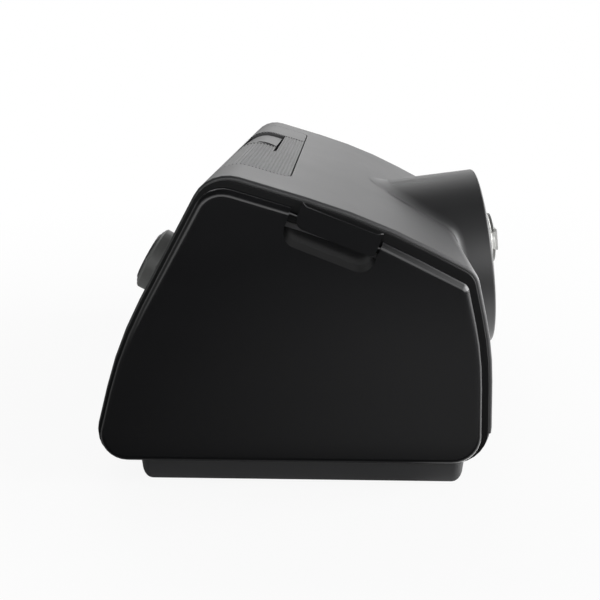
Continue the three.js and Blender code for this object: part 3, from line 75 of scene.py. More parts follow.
# Measures of the housing, the pod and the knob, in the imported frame
SHIFT = Vector((0.00025, 0.0074086, 0.0))
HOUSING_DEPTH, HOUSING_HEIGHT, UNDERSIDE = 0.1418, 0.1029, 0.0081
PROFILE_SHARES = ((0, 0), (0.093, 0.4275), (0.331, 1), (0.706, 0.841), (0.943, 0.667), (0.988, 0.406), (1, 0))
PROFILE_RADII = (0.0106, 0.150, 0.013, 0.240, 0.008, 0.120, 0.0127)
POD_RADIUS, POD_REACH, POD_HEIGHT = 0.0381, 0.0088, 0.0584
POD_TILT = math.radians(7)
POD_OUT = Vector((0, -math.cos(POD_TILT), math.sin(POD_TILT)))
POD_UP = Vector((0, math.sin(POD_TILT), math.cos(POD_TILT)))
POD_ACROSS = Vector((1, 0, 0))
POD_CENTRE = Vector((0, -HOUSING_DEPTH / 2 - POD_REACH, POD_HEIGHT)) + SHIFT
BEZEL_FACE = -0.0003
KNOB_X, KNOB_Y = -0.0182, 0.0121
KNOB_RING_TOP, KNOB_BAR_TOP, KNOB_BAR_SHIFT = 0.0016, 0.0039, 0.0009
KNOB_BAR_FOOT, KNOB_BAR_HEAD = 0.0062, 0.0086
KNOB_BAR_ROUNDING = 0.0005


def on_pod(x, y, out):
    """A place on the pod, from across and up its face and out of it."""
    return POD_CENTRE + POD_ACROSS * x + POD_UP * y + POD_OUT * out


# Materials
# How much of a noise's range is stretched over the full range
BROAD, HALF, NARROW = (0.2, 0.8), (0.25, 0.75), (0.3, 0.7)


class Tree:
    """Short words for the nodes of one material. Scales are repeats in a metre."""

    def __init__(self, name):
        self.material = bpy.data.materials.new(name)
        self.material.use_nodes = True
        self.nodes = self.material.node_tree.nodes
        self.links = self.material.node_tree.links
        self.nodes.clear()
        self.output = self.add("ShaderNodeOutputMaterial")
        self.coords = self.add("ShaderNodeTexCoord").outputs["Object"]

    def add(self, kind, **settings):
        node = self.nodes.new(kind)
        for name, value in settings.items():
            setattr(node, name, value)
        return node

    def join(self, source, target):
        self.links.new(source, target)

    def stretch(self, scale):
        """Object coordinates, stretched so that a pattern runs along an axis."""
        node = self.add("ShaderNodeMapping")
        node.inputs["Scale"].default_value = scale
        self.join(self.coords, node.inputs["Vector"])
        return node.outputs["Vector"]

    def noise(self, scale=1.0, detail=2.0, rough=0.5, coords=None):
        node = self.add("ShaderNodeTexNoise")
        node.inputs["Scale"].default_value = scale
        node.inputs["Detail"].default_value = detail
        node.inputs["Roughness"].default_value = rough
        self.join(coords or self.coords, node.inputs["Vector"])
        return node.outputs["Fac"]

    def cells(self, scale):
        node = self.add("ShaderNodeTexVoronoi")
        node.inputs["Scale"].default_value = scale
        self.join(self.coords, node.inputs["Vector"])
        return node.outputs["Distance"]

    def spread(self, value, low, high, to_low=0.0, to_high=1.0):
        node = self.add("ShaderNodeMapRange")
        node.inputs["From Min"].default_value = low
        node.inputs["From Max"].default_value = high
        node.inputs["To Min"].default_value = to_low
        node.inputs["To Max"].default_value = to_high
        self.join(value, node.inputs["Value"])
        return node.outputs["Result"]

    def swing(self, value, reach, middle, amount):
        """A noise's reach, spread by an amount to each side of a middle value."""
        return self.spread(value, *reach, middle - amount, middle + amount)

    def mixed(self, value, first, second):
        node = self.add("ShaderNodeMix", data_type="RGBA")
        colours = [socket for socket in node.inputs if socket.type == "RGBA"]
        for socket, colour in zip(colours, (first, second)):
            if hasattr(colour, "default_value"):
                self.join(colour, socket)
            else:
                socket.default_value = (*colour, 1.0)
        self.join(value, node.inputs["Factor"])
        return next(socket for socket in node.outputs if socket.type == "RGBA")

    def tinted(self, value, colour, amount):
        """A colour that is darker or lighter by a share, as the value says."""
        return self.mixed(value, shade(colour, 1 - amount), shade(colour, 1 + amount))

    def sum(self, first, second, share):
        """The first value with a share of the second added."""
        node = self.add("ShaderNodeMath", operation="MULTIPLY_ADD")
        self.join(second, node.inputs[0])
        node.inputs[1].default_value = share
        self.join(first, node.inputs[2])
        return node.outputs["Value"]

    def maths(self, operation, first, second=None):
        node = self.add("ShaderNodeMath", operation=operation)
        self.join(first, node.inputs[0])
        if second is not None:
            self.join(second, node.inputs[1])
        return node.outputs["Value"]

    def times(self, first, second):
        return self.maths("MULTIPLY", first, second)

    def plus(self, first, second):
        return self.maths("ADD", first, second)

    def bump(self, height, depth):
        node = self.add("ShaderNodeBump")
        node.inputs["Strength"].default_value = 1.0
        node.inputs["Distance"].default_value = depth
        self.join(height, node.inputs["Height"])
        return node.outputs["Normal"]

    def shader(self, colour, roughness, normal, **sockets):
        node = self.add("ShaderNodeBsdfPrincipled")
        self.join(colour, node.inputs["Base Color"])
        self.join(roughness, node.inputs["Roughness"])
        self.join(normal, node.inputs["Normal"])
        for name, value in sockets.items():
            node.inputs[name.replace("_", " ")].default_value = value
        self.join(node.outputs["BSDF"], self.output.inputs["Surface"])
        return self.material


def shade(colour, share):
    return tuple(channel * share for channel in colour)


def moulded(name, colour, rough, grain=0.35, depth=0.012, tint_swing=0.12, **sockets):
    """Spark-textured moulded plastic: a fine sand grain, faint flow clouds and slightly rubbed patches."""
    cloud_scale, rub_scale, pit_scale_share, pit_depth_share = 18.0, 40.0, 0.7, 0.4
    gloss_swing, sand_in_tint, sand_in_gloss = 0.014, 0.25, 0.04
    tree = Tree(name)
    sand = tree.noise(1 / (grain * MM), detail=3.0, rough=0.6)
    pits = tree.cells(pit_scale_share / (grain * MM))
    clouds = tree.noise(cloud_scale, detail=3.0)
    rubbed = tree.noise(rub_scale, detail=3.0)
    tone = tree.sum(tree.spread(clouds, *BROAD), sand, sand_in_tint)
    tint = tree.tinted(tone, colour, tint_swing)
    gloss = tree.sum(tree.swing(rubbed, HALF, rough, gloss_swing), sand, sand_in_gloss)
    relief = tree.bump(tree.sum(sand, pits, pit_depth_share), depth * MM)
    return tree.shader(tint, gloss, relief, **sockets)


def satin(name, colour, rough, **sockets):
    """Finely polished plastic with faint wipe marks."""
    wipe_scale, wipe_stretch, grain, depth = 9.0, (1.0, 0.35, 2.2), 0.22, 0.0045
    tint_swing, gloss_swing, sand_in_gloss = 0.07, 0.03, 0.02
    tree = Tree(name)
    wipes = tree.noise(wipe_scale, detail=5.0, rough=0.6, coords=tree.stretch(wipe_stretch))
    sand = tree.noise(1 / (grain * MM))
    tint = tree.tinted(tree.spread(wipes, *NARROW), colour, tint_swing)
    gloss = tree.sum(tree.swing(wipes, NARROW, rough, gloss_swing), sand, sand_in_gloss)
    return tree.shader(tint, gloss, tree.bump(sand, depth * MM), **sockets)


def rubber(name, colour, rough, bloom=0.16, **sockets):
    """Moulded rubber: dull, with a powdery bloom in soft patches."""
    bloom_scale, bloom_reach, grain, depth, gloss_swing = 70.0, (0.32, 0.68), 0.3, 0.014, 0.06
    tree = Tree(name)
    patches = tree.noise(bloom_scale, detail=5.0, rough=0.7)
    sand = tree.noise(1 / (grain * MM), detail=3.0)
    tint = tree.tinted(tree.spread(patches, *bloom_reach), colour, bloom)
    gloss = tree.swing(patches, NARROW, rough, gloss_swing)
    return tree.shader(tint, gloss, tree.bump(sand, depth * MM), **sockets)


def brushed(name, colour, rough):
    """Rolled or turned metal with fine lines along one axis."""
    line_stretch, stain_scale, lines_in_tint, stained = (40.0, 900.0, 900.0), 30.0, 0.5, 0.82
    smoother, rougher, depth = 0.08, 0.1, 0.006
    tree = Tree(name)
    lines = tree.noise(detail=4.0, rough=0.7, coords=tree.stretch(line_stretch))
    stains = tree.noise(stain_scale, detail=3.0)
    tone = tree.sum(tree.spread(stains, *NARROW), lines, lines_in_tint)
    tint = tree.mixed(tone, shade(colour, stained), colour)
    gloss = tree.spread(lines, *HALF, rough - smoother, rough + rougher)
    return tree.shader(tint, gloss, tree.bump(lines, depth * MM), Metallic=1.0)


def knob_with_painted_shade(name, bright, dark, rough, **sockets):
    """Silver knob whose cone, between the rim and the bar, carries painted shade: a darker grey that stands
    in for the dark the cone faces.
    """
    line_start, rim_line, bar_line = 0.00005, 0.0002, 0.00015
    wear_scale, grain, depth = 160.0, 0.2, 0.004
    tint_swing, gloss_swing, sand_in_gloss = 0.05, 0.03, 0.04
    tree = Tree(name)

    def along(axis, origin):
        moved = tree.add("ShaderNodeVectorMath", operation="SUBTRACT")
        tree.join(tree.coords, moved.inputs[0])
        moved.inputs[1].default_value = origin
        product = tree.add("ShaderNodeVectorMath", operation="DOT_PRODUCT")
        tree.join(moved.outputs["Vector"], product.inputs[0])
        product.inputs[1].default_value = axis
        return product.outputs["Value"]

    centre = on_pod(KNOB_X, KNOB_Y + KNOB_BAR_SHIFT, BEZEL_FACE)
    height = along(POD_OUT, centre)
    above_rim = tree.spread(height, KNOB_RING_TOP + line_start, KNOB_RING_TOP + rim_line)
    bar_half = tree.spread(height, KNOB_RING_TOP, KNOB_BAR_TOP - KNOB_BAR_ROUNDING,
                           KNOB_BAR_FOOT / 2, KNOB_BAR_HEAD / 2)
    beyond = tree.maths("SUBTRACT", tree.maths("ABSOLUTE", along(POD_UP, centre)), bar_half)
    # Painted shade: the cone between the rim and the bar takes the darker grey.
    cone = tree.times(above_rim, tree.spread(beyond, line_start, bar_line))
    sand = tree.noise(1 / (grain * MM), detail=3.0)
    wear = tree.noise(wear_scale, detail=4.0, rough=0.6)
    silver = tree.tinted(tree.spread(wear, *NARROW), bright, tint_swing)
    gloss = tree.sum(tree.swing(wear, NARROW, rough, gloss_swing), sand, sand_in_gloss)
    return tree.shader(tree.mixed(cone, silver, dark), gloss, tree.bump(sand, depth * MM), **sockets)


def felt(name, colour, rough):
    """Pressed filter fibre: crossing hairs over a soft lumpy mat."""
    first_stretch, second_stretch, lump_scale = (320.0, 2600.0, 1500.0), (2600.0, 420.0, 1700.0), 260.0
    hair_reach, between_hairs, lumps_in_relief, smoother, depth = (0.7, 1.3), 0.7, 0.8, 0.05, 0.12
    tree = Tree(name)
    first = tree.noise(detail=5.0, rough=0.75, coords=tree.stretch(first_stretch))
    second = tree.noise(detail=5.0, rough=0.75, coords=tree.stretch(second_stretch))
    lumps = tree.noise(lump_scale, detail=3.0)
    hairs = tree.sum(first, second, 1.0)
    tint = tree.mixed(tree.spread(hairs, *hair_reach), shade(colour, between_hairs), colour)
    relief = tree.bump(tree.sum(hairs, lumps, lumps_in_relief), depth * MM)
    gloss = tree.spread(lumps, *NARROW, rough - smoother, rough)
    return tree.shader(tint, gloss, relief, Sheen_Weight=0.3)


def circuit_board(name, mask, copper):
    """Green solder mask with copper runs just showing through it."""
    run_scale, run_gap, under_mask, hole_scale, hole_edge = 160.0, 0.035, 0.55, 240.0, (0.1, 0.16)
    gloss_scale, gloss_limits, depth = 400.0, (0.28, 0.4), 0.02
    tree = Tree(name)
    runs = tree.add("ShaderNodeTexBrick", offset=0.5, squash=0.6)
    runs.inputs["Scale"].default_value = run_scale
    runs.inputs["Mortar Size"].default_value = run_gap
    tree.join(tree.coords, runs.inputs["Vector"])
    holes = tree.cells(hole_scale)
    tint = tree.mixed(runs.outputs["Fac"], mask, shade(copper, under_mask))
    dotted = tree.mixed(tree.spread(holes, *hole_edge), copper, tint)
    gloss = tree.spread(tree.noise(gloss_scale), *NARROW, *gloss_limits)
    return tree.shader(dotted, gloss, tree.bump(runs.outputs["Fac"], depth * MM), Coat_Weight=0.3)


def clear_window(name, colour, rough):
    """Smoked window: nearly black, polished, with a few hairline scuffs."""
    scuff_stretch, tint_reach, gloss_reach = (900.0, 90.0, 260.0), (0.4, 0.75), (0.45, 0.8)
    scuffed, rougher, depth = 1.6, 0.12, 0.001
    tree = Tree(name)
    scuffs = tree.noise(detail=6.0, rough=0.8, coords=tree.stretch(scuff_stretch))
    tint = tree.mixed(tree.spread(scuffs, *tint_reach), colour, shade(colour, scuffed))
    gloss = tree.spread(scuffs, *gloss_reach, rough, rough + rougher)
    return tree.shader(tint, gloss, tree.bump(scuffs, depth * MM), Coat_Weight=0.5, Coat_Roughness=0.03)


SHELL_BLACK, COVER_BLACK = (0.019, 0.0192, 0.0201), (0.0065, 0.0066, 0.0073)
INNER_BLACK = (0.022, 0.022, 0.024)
# Painted shade: the dock frame's recessed band takes the cover's black darkened to under half.
FRAME_PAINTED_SHADE_BLACK = shade(COVER_BLACK, 0.45)
BUTTON_GREY, OUTLET_GREY, SEAL_GREY = (0.3, 0.302, 0.295), (0.13, 0.134, 0.13), (0.46, 0.48, 0.46)
# The knob's cone grey is painted shade on the silver, not a colour of its own.
KNOB_SILVER, KNOB_CONE_PAINTED_SHADE, STEEL = (0.66, 0.66, 0.64), (0.13, 0.13, 0.125), (0.56, 0.57, 0.58)
FOOT_BLACK, WINDOW_BLACK = (0.022, 0.022, 0.022), (0.008, 0.009, 0.011)
DUCT_WHITE, FELT_WHITE = (0.72, 0.72, 0.69), (0.78, 0.78, 0.75)
BOARD_GREEN, COPPER = (0.012, 0.1, 0.045), (0.42, 0.24, 0.08)
finishes = {
    "shell": moulded("shell_moulding", SHELL_BLACK, 0.45, grain=0.30, depth=0.008, tint_swing=0.07),
    "cover": satin("cover_satin", COVER_BLACK, 0.2, Specular_IOR_Level=0.34),
    "frame": satin("frame_satin_painted_shade", FRAME_PAINTED_SHADE_BLACK, 0.42, Specular_IOR_Level=0.14),
    "inner_plastic": moulded("inner_moulding", INNER_BLACK, 0.46, grain=0.22, depth=0.006),
    "light_plastic": moulded("silver_moulding", BUTTON_GREY, 0.4, grain=0.2, depth=0.004, tint_swing=0.05),
    "knob_plastic": knob_with_painted_shade("knob_silver_painted_shade", KNOB_SILVER, KNOB_CONE_PAINTED_SHADE, 0.34, Metallic=0.15),
    "duct_plastic": moulded("duct_moulding", DUCT_WHITE, 0.42, grain=0.3, depth=0.006, tint_swing=0.04),
    "grey_rubber": rubber("outlet_rubber", OUTLET_GREY, 0.5),
    "dark_rubber": rubber("foot_rubber", FOOT_BLACK, 0.72),
    "silicone": rubber("seal_silicone", SEAL_GREY, 0.38, bloom=0.06, Subsurface_Weight=0.2),
    "steel": brushed("steel_brushed", STEEL, 0.3),
    "board": circuit_board("board_mask", BOARD_GREEN, COPPER),
    "foam": felt("filter_felt", FELT_WHITE, 0.95),
    "window": clear_window("window_smoke", WINDOW_BLACK, 0.07),
}

# Pieces
WELD_GAP = 0.002 * MM
FLAT_ANGLE, SHARP_ANGLE = math.radians(0.4), math.radians(32)
ROUNDING_SEGMENTS, SHADING_WEIGHT = 3, 80


def clothe(thing, material):
    thing.data.materials.clear()
    thing.data.materials.append(material)


def merged(name):
    """A welded copy of a node's triangles, with its flat facets joined back into whole faces."""
    shape = bmesh.new()
    shape.from_mesh(nodes[name].data)
    bmesh.ops.remove_doubles(shape, verts=shape.verts, dist=WELD_GAP)
    bmesh.ops.dissolve_limit(shape, angle_limit=FLAT_ANGLE, verts=shape.verts, edges=shape.edges)
    return shape


def piece_from(shape, name):
    mesh = bpy.data.meshes.new(name)
    shape.to_mesh(mesh)
    shape.free()
    thing = bpy.data.objects.new(name, mesh)
    scene.collection.objects.link(thing)
    return thing


def body_of(node):
    for body, names in frame["record"]["behaviour"]["bodies"].items():
        if node in names:
            return body
    return "root"


def soften(thing, width):
    """Rounds the sharp edges by a width in millimetres, and shades the rest smooth."""
    thing.data.shade_smooth()
    bevel = thing.modifiers.new("edge_rounding", "BEVEL")
    bevel.width = width * MM
    bevel.segments = ROUNDING_SEGMENTS
    bevel.limit_method = "ANGLE"
    bevel.angle_limit = SHARP_ANGLE
    bevel.harden_normals = True
    bevel.use_clamp_overlap = True
    bevel.miter_outer = "MITER_ARC"
    even = thing.modifiers.new("even_shading", "WEIGHTED_NORMAL")
    even.mode = "FACE_AREA"
    even.weight = SHADING_WEIGHT
    even.keep_sharp = True


def dress(node, width, finish):
    """The node's own form, welded and with its edges rounded, in place of its loose facets."""
    thing = piece_from(merged(node), "dressed_" + node)
    soften(thing, width)
    clothe(thing, finishes[finish])
    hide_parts(node)
    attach(thing, body_of(node))


# Each outer node with its slot and its edge rounding in millimetres
DRESSED_NODES = {
    "top_shell": ("shell", 0.25), "base_tray": ("shell", 0.35), "dock_frame": ("cover", 0.3),
    "side_cover": ("cover", 0.3), "latch_tab": ("cover", 0.3), "filter_cap": ("shell", 0.12),
    "end_wall": ("shell", 0.4), "card_door": ("shell", 0.2),
    "outlet_collar": ("grey_rubber", 0.35), "outlet_nozzle": ("inner_plastic", 0.25),
    "pod_bezel": ("inner_plastic", 0.25), "knob": ("light_plastic", 0.25),
    "home_button": ("light_plastic", 0.2), "start_button": ("light_plastic", 0.2),
    "display_window": ("window", 0.15), "dock_bay": ("inner_plastic", 0.4),
    "heater_plate": ("steel", 0.3), "bypass_duct": ("inner_plastic", 0.4),
    "filter_tray": ("inner_plastic", 0.3), "filter_foam": ("foam", 0.5),
    **{f"foot_{end}_{side}": ("dark_rubber", 0.3) for end in ("near", "far") for side in ("rear", "front")},
    "power_socket": ("inner_plastic", 0.25), "outlet_elbow": ("duct_plastic", 0.3),
}
OWN_FINISHES = {"knob": "knob_plastic", "dock_frame": "frame"}
CASE_SCREWS, BLOWER_MOUNTS = 4, 3
# Inner nodes that show their own facets, with their slots
KEPT_SLOTS = {
    **{f"case_screw_{number + 1}": "steel" for number in range(CASE_SCREWS)},
    "card_reader": "steel", "blower_port_seal": "silicone", "outlet_port_seal": "silicone",
    "latch_pin": "cover", "inlet_duct": "duct_plastic", "blower_lower": "duct_plastic",
    "blower_upper": "duct_plastic", "impeller": "duct_plastic", "motor_can": "steel", "motor_shaft": "steel",
    **{f"blower_mount_{number + 1}": "silicone" for number in range(BLOWER_MOUNTS)},
    "outlet_cuff": "silicone", "main_board": "board", "pressure_sensor": "inner_plastic",
    "sensor_hose": "silicone", "power_pin": "steel", "display_module": "window", "display_board": "board",
    "encoder": "steel", "encoder_shaft": "steel",
}
for node, (slot, width) in DRESSED_NODES.items():
    dress(node, width, OWN_FINISHES.get(node, slot))
for node, slot in KEPT_SLOTS.items():
    clothe(nodes[node], finishes[slot])


# Fillet between the pod's barrel and the housing
ARC_STEPS, FILLET_STATIONS, FILLET_STEPS, SMOOTHING_ROUNDS = 16, 180, 14, 3
FILLET_TOP, FILLET_SIDE, FILLET_FOOT, FILLET_BURIED = 0.004, 0.0035, 0.0012, 0.0012
SIDE_SHARE, TOP_EASE, FOOT_EASE = 0.25, 0.8, 2.5
HIT_SLACK = 1e-6


def housing_outline():
    """The side profile as places in Y and Z, from the rear foot round, with the length along it to each."""
    corners = [Vector((HOUSING_DEPTH / 2 - along * HOUSING_DEPTH, UNDERSIDE + up * HOUSING_HEIGHT))
               for along, up in PROFILE_SHARES]
    count, outline = len(corners), []
    for index, corner in enumerate(corners):
        before = (corner - corners[index - 1]).normalized()
        after = (corners[(index + 1) % count] - corner).normalized()
        turn = before.angle(after)
        radius = PROFILE_RADII[index]
        start = corner - before * radius * math.tan(turn / 2)
        centre = start + Vector((-before.y, before.x)) * radius
        spoke = start - centre
        for step in range(ARC_STEPS + 1):
            angle = turn * step / ARC_STEPS
            outline.append(centre + Vector((spoke.x * math.cos(angle) - spoke.y * math.sin(angle),
                                            spoke.x * math.sin(angle) + spoke.y * math.cos(angle))))
    lengths = [0.0]
    for first, second in zip(outline, outline[1:]):
        lengths.append(lengths[-1] + (second - first).length)
    return outline, lengths


OUTLINE, LENGTHS = housing_outline()


def on_housing(x, length):
    """The place on the housing's skin at x and a length along its profile."""
    for index in range(len(LENGTHS) - 1):
        if length <= LENGTHS[index + 1]:
            break
    share = (length - LENGTHS[index]) / max(LENGTHS[index + 1] - LENGTHS[index], TINY)
    place = OUTLINE[index].lerp(OUTLINE[index + 1], share)
    return Vector((x, place.x + SHIFT.y, place.y + SHIFT.z))


def crease_place(across, up):
    """Where a line along the barrel meets the skin: how far behind the pod's face and along the profile."""
    start = on_pod(across, up, 0.0)
    origin = Vector((start.y - SHIFT.y, start.z))
    heading = Vector((-POD_OUT.y, -POD_OUT.z))
    best = None
    for index in range(len(OUTLINE) - 1):
        side = OUTLINE[index + 1] - OUTLINE[index]
        cross = heading.x * side.y - heading.y * side.x
        if side.length < TINY or abs(cross) < TINY:
            continue
        gap = OUTLINE[index] - origin
        depth = (gap.x * side.y - gap.y * side.x) / cross
        share = (gap.x * heading.y - gap.y * heading.x) / cross
        on_side = -HIT_SLACK <= share <= 1 + HIT_SLACK
        if on_side and depth > 0 and (best is None or depth < best[0]):
            best = (depth, LENGTHS[index] + share * side.length)
    return best


def smoothed(values):
    for _ in range(SMOOTHING_ROUNDS):
        count = len(values)
        values = [(values[i - 1] + values[i] * 2 + values[(i + 1) % count]) / 4 for i in range(count)]
    return values


def fillet_width(angle):
    """The fillet's width, broad over the pod and narrow at its foot. The angle runs from +X up and over."""
    high = math.sin(angle)
    if high > SIDE_SHARE:
        return FILLET_SIDE + (FILLET_TOP - FILLET_SIDE) * ((high - SIDE_SHARE) / (1 - SIDE_SHARE)) ** TOP_EASE
    return FILLET_FOOT + (FILLET_SIDE - FILLET_FOOT) * ((1 + high) / (1 + SIDE_SHARE)) ** FOOT_EASE


def unit(first, second):
    long = math.hypot(first, second)
    return first / long, second / long


def make_pod_fillet():
    """A closed ring that rounds the crease, from the housing's skin to the barrel, with its back buried."""
    angles = [2 * math.pi * number / FILLET_STATIONS for number in range(FILLET_STATIONS)]
    across = [POD_RADIUS * math.cos(angle) for angle in angles]
    creases = [crease_place(x, POD_RADIUS * math.sin(angle)) for x, angle in zip(across, angles)]
    depths = smoothed([crease[0] for crease in creases])
    lengths = smoothed([crease[1] for crease in creases])
    station_gap = 2 * POD_RADIUS * 2 * math.pi / FILLET_STATIONS
    shape = bmesh.new()
    rings = []
    for number, angle in enumerate(angles):
        after, before = (number + 1) % FILLET_STATIONS, number - 1
        width = fillet_width(angle)
        skin_x, skin_length = unit(across[after] - across[before], lengths[after] - lengths[before])
        round_way, depth_way = unit(station_gap, depths[after] - depths[before])
        outer = on_housing(across[number] - skin_length * width, lengths[number] + skin_x * width)
        inner_angle = angle + depth_way * width / POD_RADIUS
        inner_depth = depths[number] - round_way * width
        inner = on_pod(POD_RADIUS * math.cos(inner_angle), POD_RADIUS * math.sin(inner_angle), -inner_depth)
        crease = on_housing(across[number], lengths[number])
        buried = (on_pod(0, 0, -depths[number]) - crease).normalized() * FILLET_BURIED
        section = []
        for step in range(FILLET_STEPS + 1):
            share = step / FILLET_STEPS
            section.append(outer * (1 - share) ** 2 + crease * (2 * share * (1 - share)) + inner * share ** 2)
        section.append(crease + buried)
        rings.append([shape.verts.new(place) for place in section])
    points = FILLET_STEPS + 2
    for number in range(FILLET_STATIONS):
        here, beside = rings[number], rings[(number + 1) % FILLET_STATIONS]
        for row in range(points):
            next_row = (row + 1) % points
            face = shape.faces.new((here[row], beside[row], beside[next_row], here[next_row]))
            face.smooth = row < FILLET_STEPS
    bmesh.ops.recalc_face_normals(shape, faces=shape.faces)
    for edge in shape.edges:
        if not all(face.smooth for face in edge.link_faces):
            edge.smooth = False
    fillet = piece_from(shape, "pod_fillet")
    clothe(fillet, finishes["shell"])
    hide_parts("top_shell")
    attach(fillet, "housing")


make_pod_fillet()


# Legs of the chips on the main board
BOARD_NEAR, BOARD_FAR, BOARD_DEPTH, BOARD_TOP = -0.034, 0.076, 0.034, 0.0136
BOARD_INSET = 0.015
BOARD_FRONT = -HOUSING_DEPTH / 2 + BOARD_INSET
CHIP_SIZE, CHIP_SHARES, CHIP_SIDES = 0.016, (0.3, 0.5, 0.72), 4
LEG_SIZES = {"leg_count": 11, "pitch": 0.00125, "leg_width": 0.00055, "leg_reach": 0.0016, "leg_rise": 0.0009,
             "leg_thickness": 0.0002}
LEG_STEPS, LEG_TUCK, LEG_LIFT = 6, 0.1, 0.6


def leg_rows():
    """A node tree that sets a row of bent legs on every point it is given, turned as the point says."""
    tree = bpy.data.node_groups.new("leg_rows", "GeometryNodeTree")
    face = tree.interface
    face.new_socket("Geometry", in_out="INPUT", socket_type="NodeSocketGeometry")
    for name, size in LEG_SIZES.items():
        kind = "NodeSocketInt" if isinstance(size, int) else "NodeSocketFloat"
        face.new_socket(name, in_out="INPUT", socket_type=kind)
    face.new_socket("Material", in_out="INPUT", socket_type="NodeSocketMaterial")
    face.new_socket("Geometry", in_out="OUTPUT", socket_type="NodeSocketGeometry")
    add, join = tree.nodes.new, tree.links.new
    given = add("NodeGroupInput")

    def fed(node, values):
        """Gives a node's inputs plain numbers or links, in order."""
        for socket, value in zip(node.inputs, values):
            if isinstance(value, (int, float)):
                socket.default_value = value
            else:
                join(value, socket)
        return node

    def maths(operation, first, second):
        node = add("ShaderNodeMath")
        node.operation = operation
        return fed(node, (first, second)).outputs["Value"]

    def place(x=0.0, y=0.0, z=0.0):
        return fed(add("ShaderNodeCombineXYZ"), (x, y, z)).outputs["Vector"]

    reach, rise, pitch = given.outputs["leg_reach"], given.outputs["leg_rise"], given.outputs["pitch"]
    middle = maths("MULTIPLY", reach, 0.5)
    lift = maths("MULTIPLY", given.outputs["leg_thickness"], LEG_LIFT)
    bend = add("GeometryNodeCurvePrimitiveBezierSegment")
    bend.mode = "POSITION"
    bend.inputs["Resolution"].default_value = LEG_STEPS
    join(place(y=maths("MULTIPLY", reach, -LEG_TUCK), z=rise), bend.inputs["Start"])
    join(place(y=middle, z=rise), bend.inputs["Start Handle"])
    join(place(y=middle, z=lift), bend.inputs["End Handle"])
    join(place(y=reach, z=lift), bend.inputs["End"])
    section = add("GeometryNodeCurvePrimitiveQuadrilateral")
    join(given.outputs["leg_width"], section.inputs["Width"])
    join(given.outputs["leg_thickness"], section.inputs["Height"])
    leg = add("GeometryNodeCurveToMesh")
    join(bend.outputs["Curve"], leg.inputs["Curve"])
    join(section.outputs["Curve"], leg.inputs["Profile Curve"])
    leg.inputs["Fill Caps"].default_value = True
    line = add("GeometryNodeMeshLine")
    join(given.outputs["leg_count"], line.inputs["Count"])
    join(place(x=pitch), line.inputs["Offset"])
    span = maths("MULTIPLY", maths("SUBTRACT", given.outputs["leg_count"], 1), pitch)
    join(place(x=maths("MULTIPLY", span, -0.5)), line.inputs["Start Location"])
    row = add("GeometryNodeInstanceOnPoints")
    join(line.outputs["Mesh"], row.inputs["Points"])
    join(leg.outputs["Mesh"], row.inputs["Instance"])
    turn = add("GeometryNodeInputNamedAttribute")
    turn.data_type = "FLOAT"
    turn.inputs["Name"].default_value = "turn"
    rows = add("GeometryNodeInstanceOnPoints")
    join(given.outputs["Geometry"], rows.inputs["Points"])
    join(row.outputs["Instances"], rows.inputs["Instance"])
    join(place(z=turn.outputs["Attribute"]), rows.inputs["Rotation"])
    real = add("GeometryNodeRealizeInstances")
    join(rows.outputs["Instances"], real.inputs["Geometry"])
    coat = add("GeometryNodeSetMaterial")
    join(real.outputs["Geometry"], coat.inputs["Geometry"])
    join(given.outputs["Material"], coat.inputs["Material"])
    made = add("NodeGroupOutput")
    join(coat.outputs["Geometry"], made.inputs["Geometry"])
    return tree


def make_chip_legs():
    """A row of legs along each side of each chip, standing on the board."""
    middle_y = BOARD_FRONT + BOARD_DEPTH / 2 + SHIFT.y
    points, turns = [], []
    for share in CHIP_SHARES:
        middle_x = BOARD_NEAR + (BOARD_FAR - BOARD_NEAR) * share + SHIFT.x
        for side in range(CHIP_SIDES):
            angle = side * 2 * math.pi / CHIP_SIDES
            out_x, out_y = -math.sin(angle) * CHIP_SIZE / 2, math.cos(angle) * CHIP_SIZE / 2
            points.append((middle_x + out_x, middle_y + out_y, BOARD_TOP))
            turns.append(angle)
    mesh = bpy.data.meshes.new("leg_places")
    mesh.from_pydata(points, [], [])
    mesh.attributes.new("turn", "FLOAT", "POINT").data.foreach_set("value", turns)
    carrier = bpy.data.objects.new("leg_carrier", mesh)
    scene.collection.objects.link(carrier)
    modifier = carrier.modifiers.new("leg_rows", "NODES")
    modifier.node_group = leg_rows()
    sockets = modifier.node_group.interface.items_tree
    given = {item.name: item.identifier for item in sockets if item.in_out == "INPUT"}
    for name, size in LEG_SIZES.items():
        modifier[given[name]] = size
    modifier[given["Material"]] = finishes["steel"]
    ready = carrier.evaluated_get(bpy.context.evaluated_depsgraph_get())
    legs_mesh = bpy.data.meshes.new_from_object(ready)
    legs = bpy.data.objects.new("chip_legs", legs_mesh)
    scene.collection.objects.link(legs)
    bpy.data.objects.remove(carrier)
    clothe(legs, finishes["steel"])
    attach(legs, body_of("main_board"))


make_chip_legs()


# Floor. Each ramp runs from one place to another, along an axis or outwards, and from one value to another.
FLOOR_RADIUS, FLOOR_SIDES, FLOOR_WHITE = 12.0, 64, (0.86, 0.86, 0.86, 1.0)
MIRRORED_ASIDE = (0.08, -0.05, 0.12, 0.5)
MIRRORED_FAR_OFF = (-0.45, -0.25, 0.08, 1.0)
# Painted shadow in reflections: the floor's glow drops right before the cover.
MIRRORED_PAINTED_SHADOW = (-0.138, -0.112, 1.0, 0.08)
MIRRORED_BESIDE = (-0.108, -0.096, 0.0, 2.0)
MIRRORED_UNDER_POD = (-0.035, -0.06, 0.1, 1.0)
# Painted shade in bounced light: the floor's glow dims towards the cover.
BOUNCED_PAINTED_SHADE = (-0.30, -0.10, 1.0, 0.2)
BOUNCED_BESIDE = (-0.108, -0.096, 0.0, 0.8)
SEEN_GLOW_SHARE, BOUNCED_GLOW_SHARE = (0.15, 0.5, 0.91, 1.0), 0.75


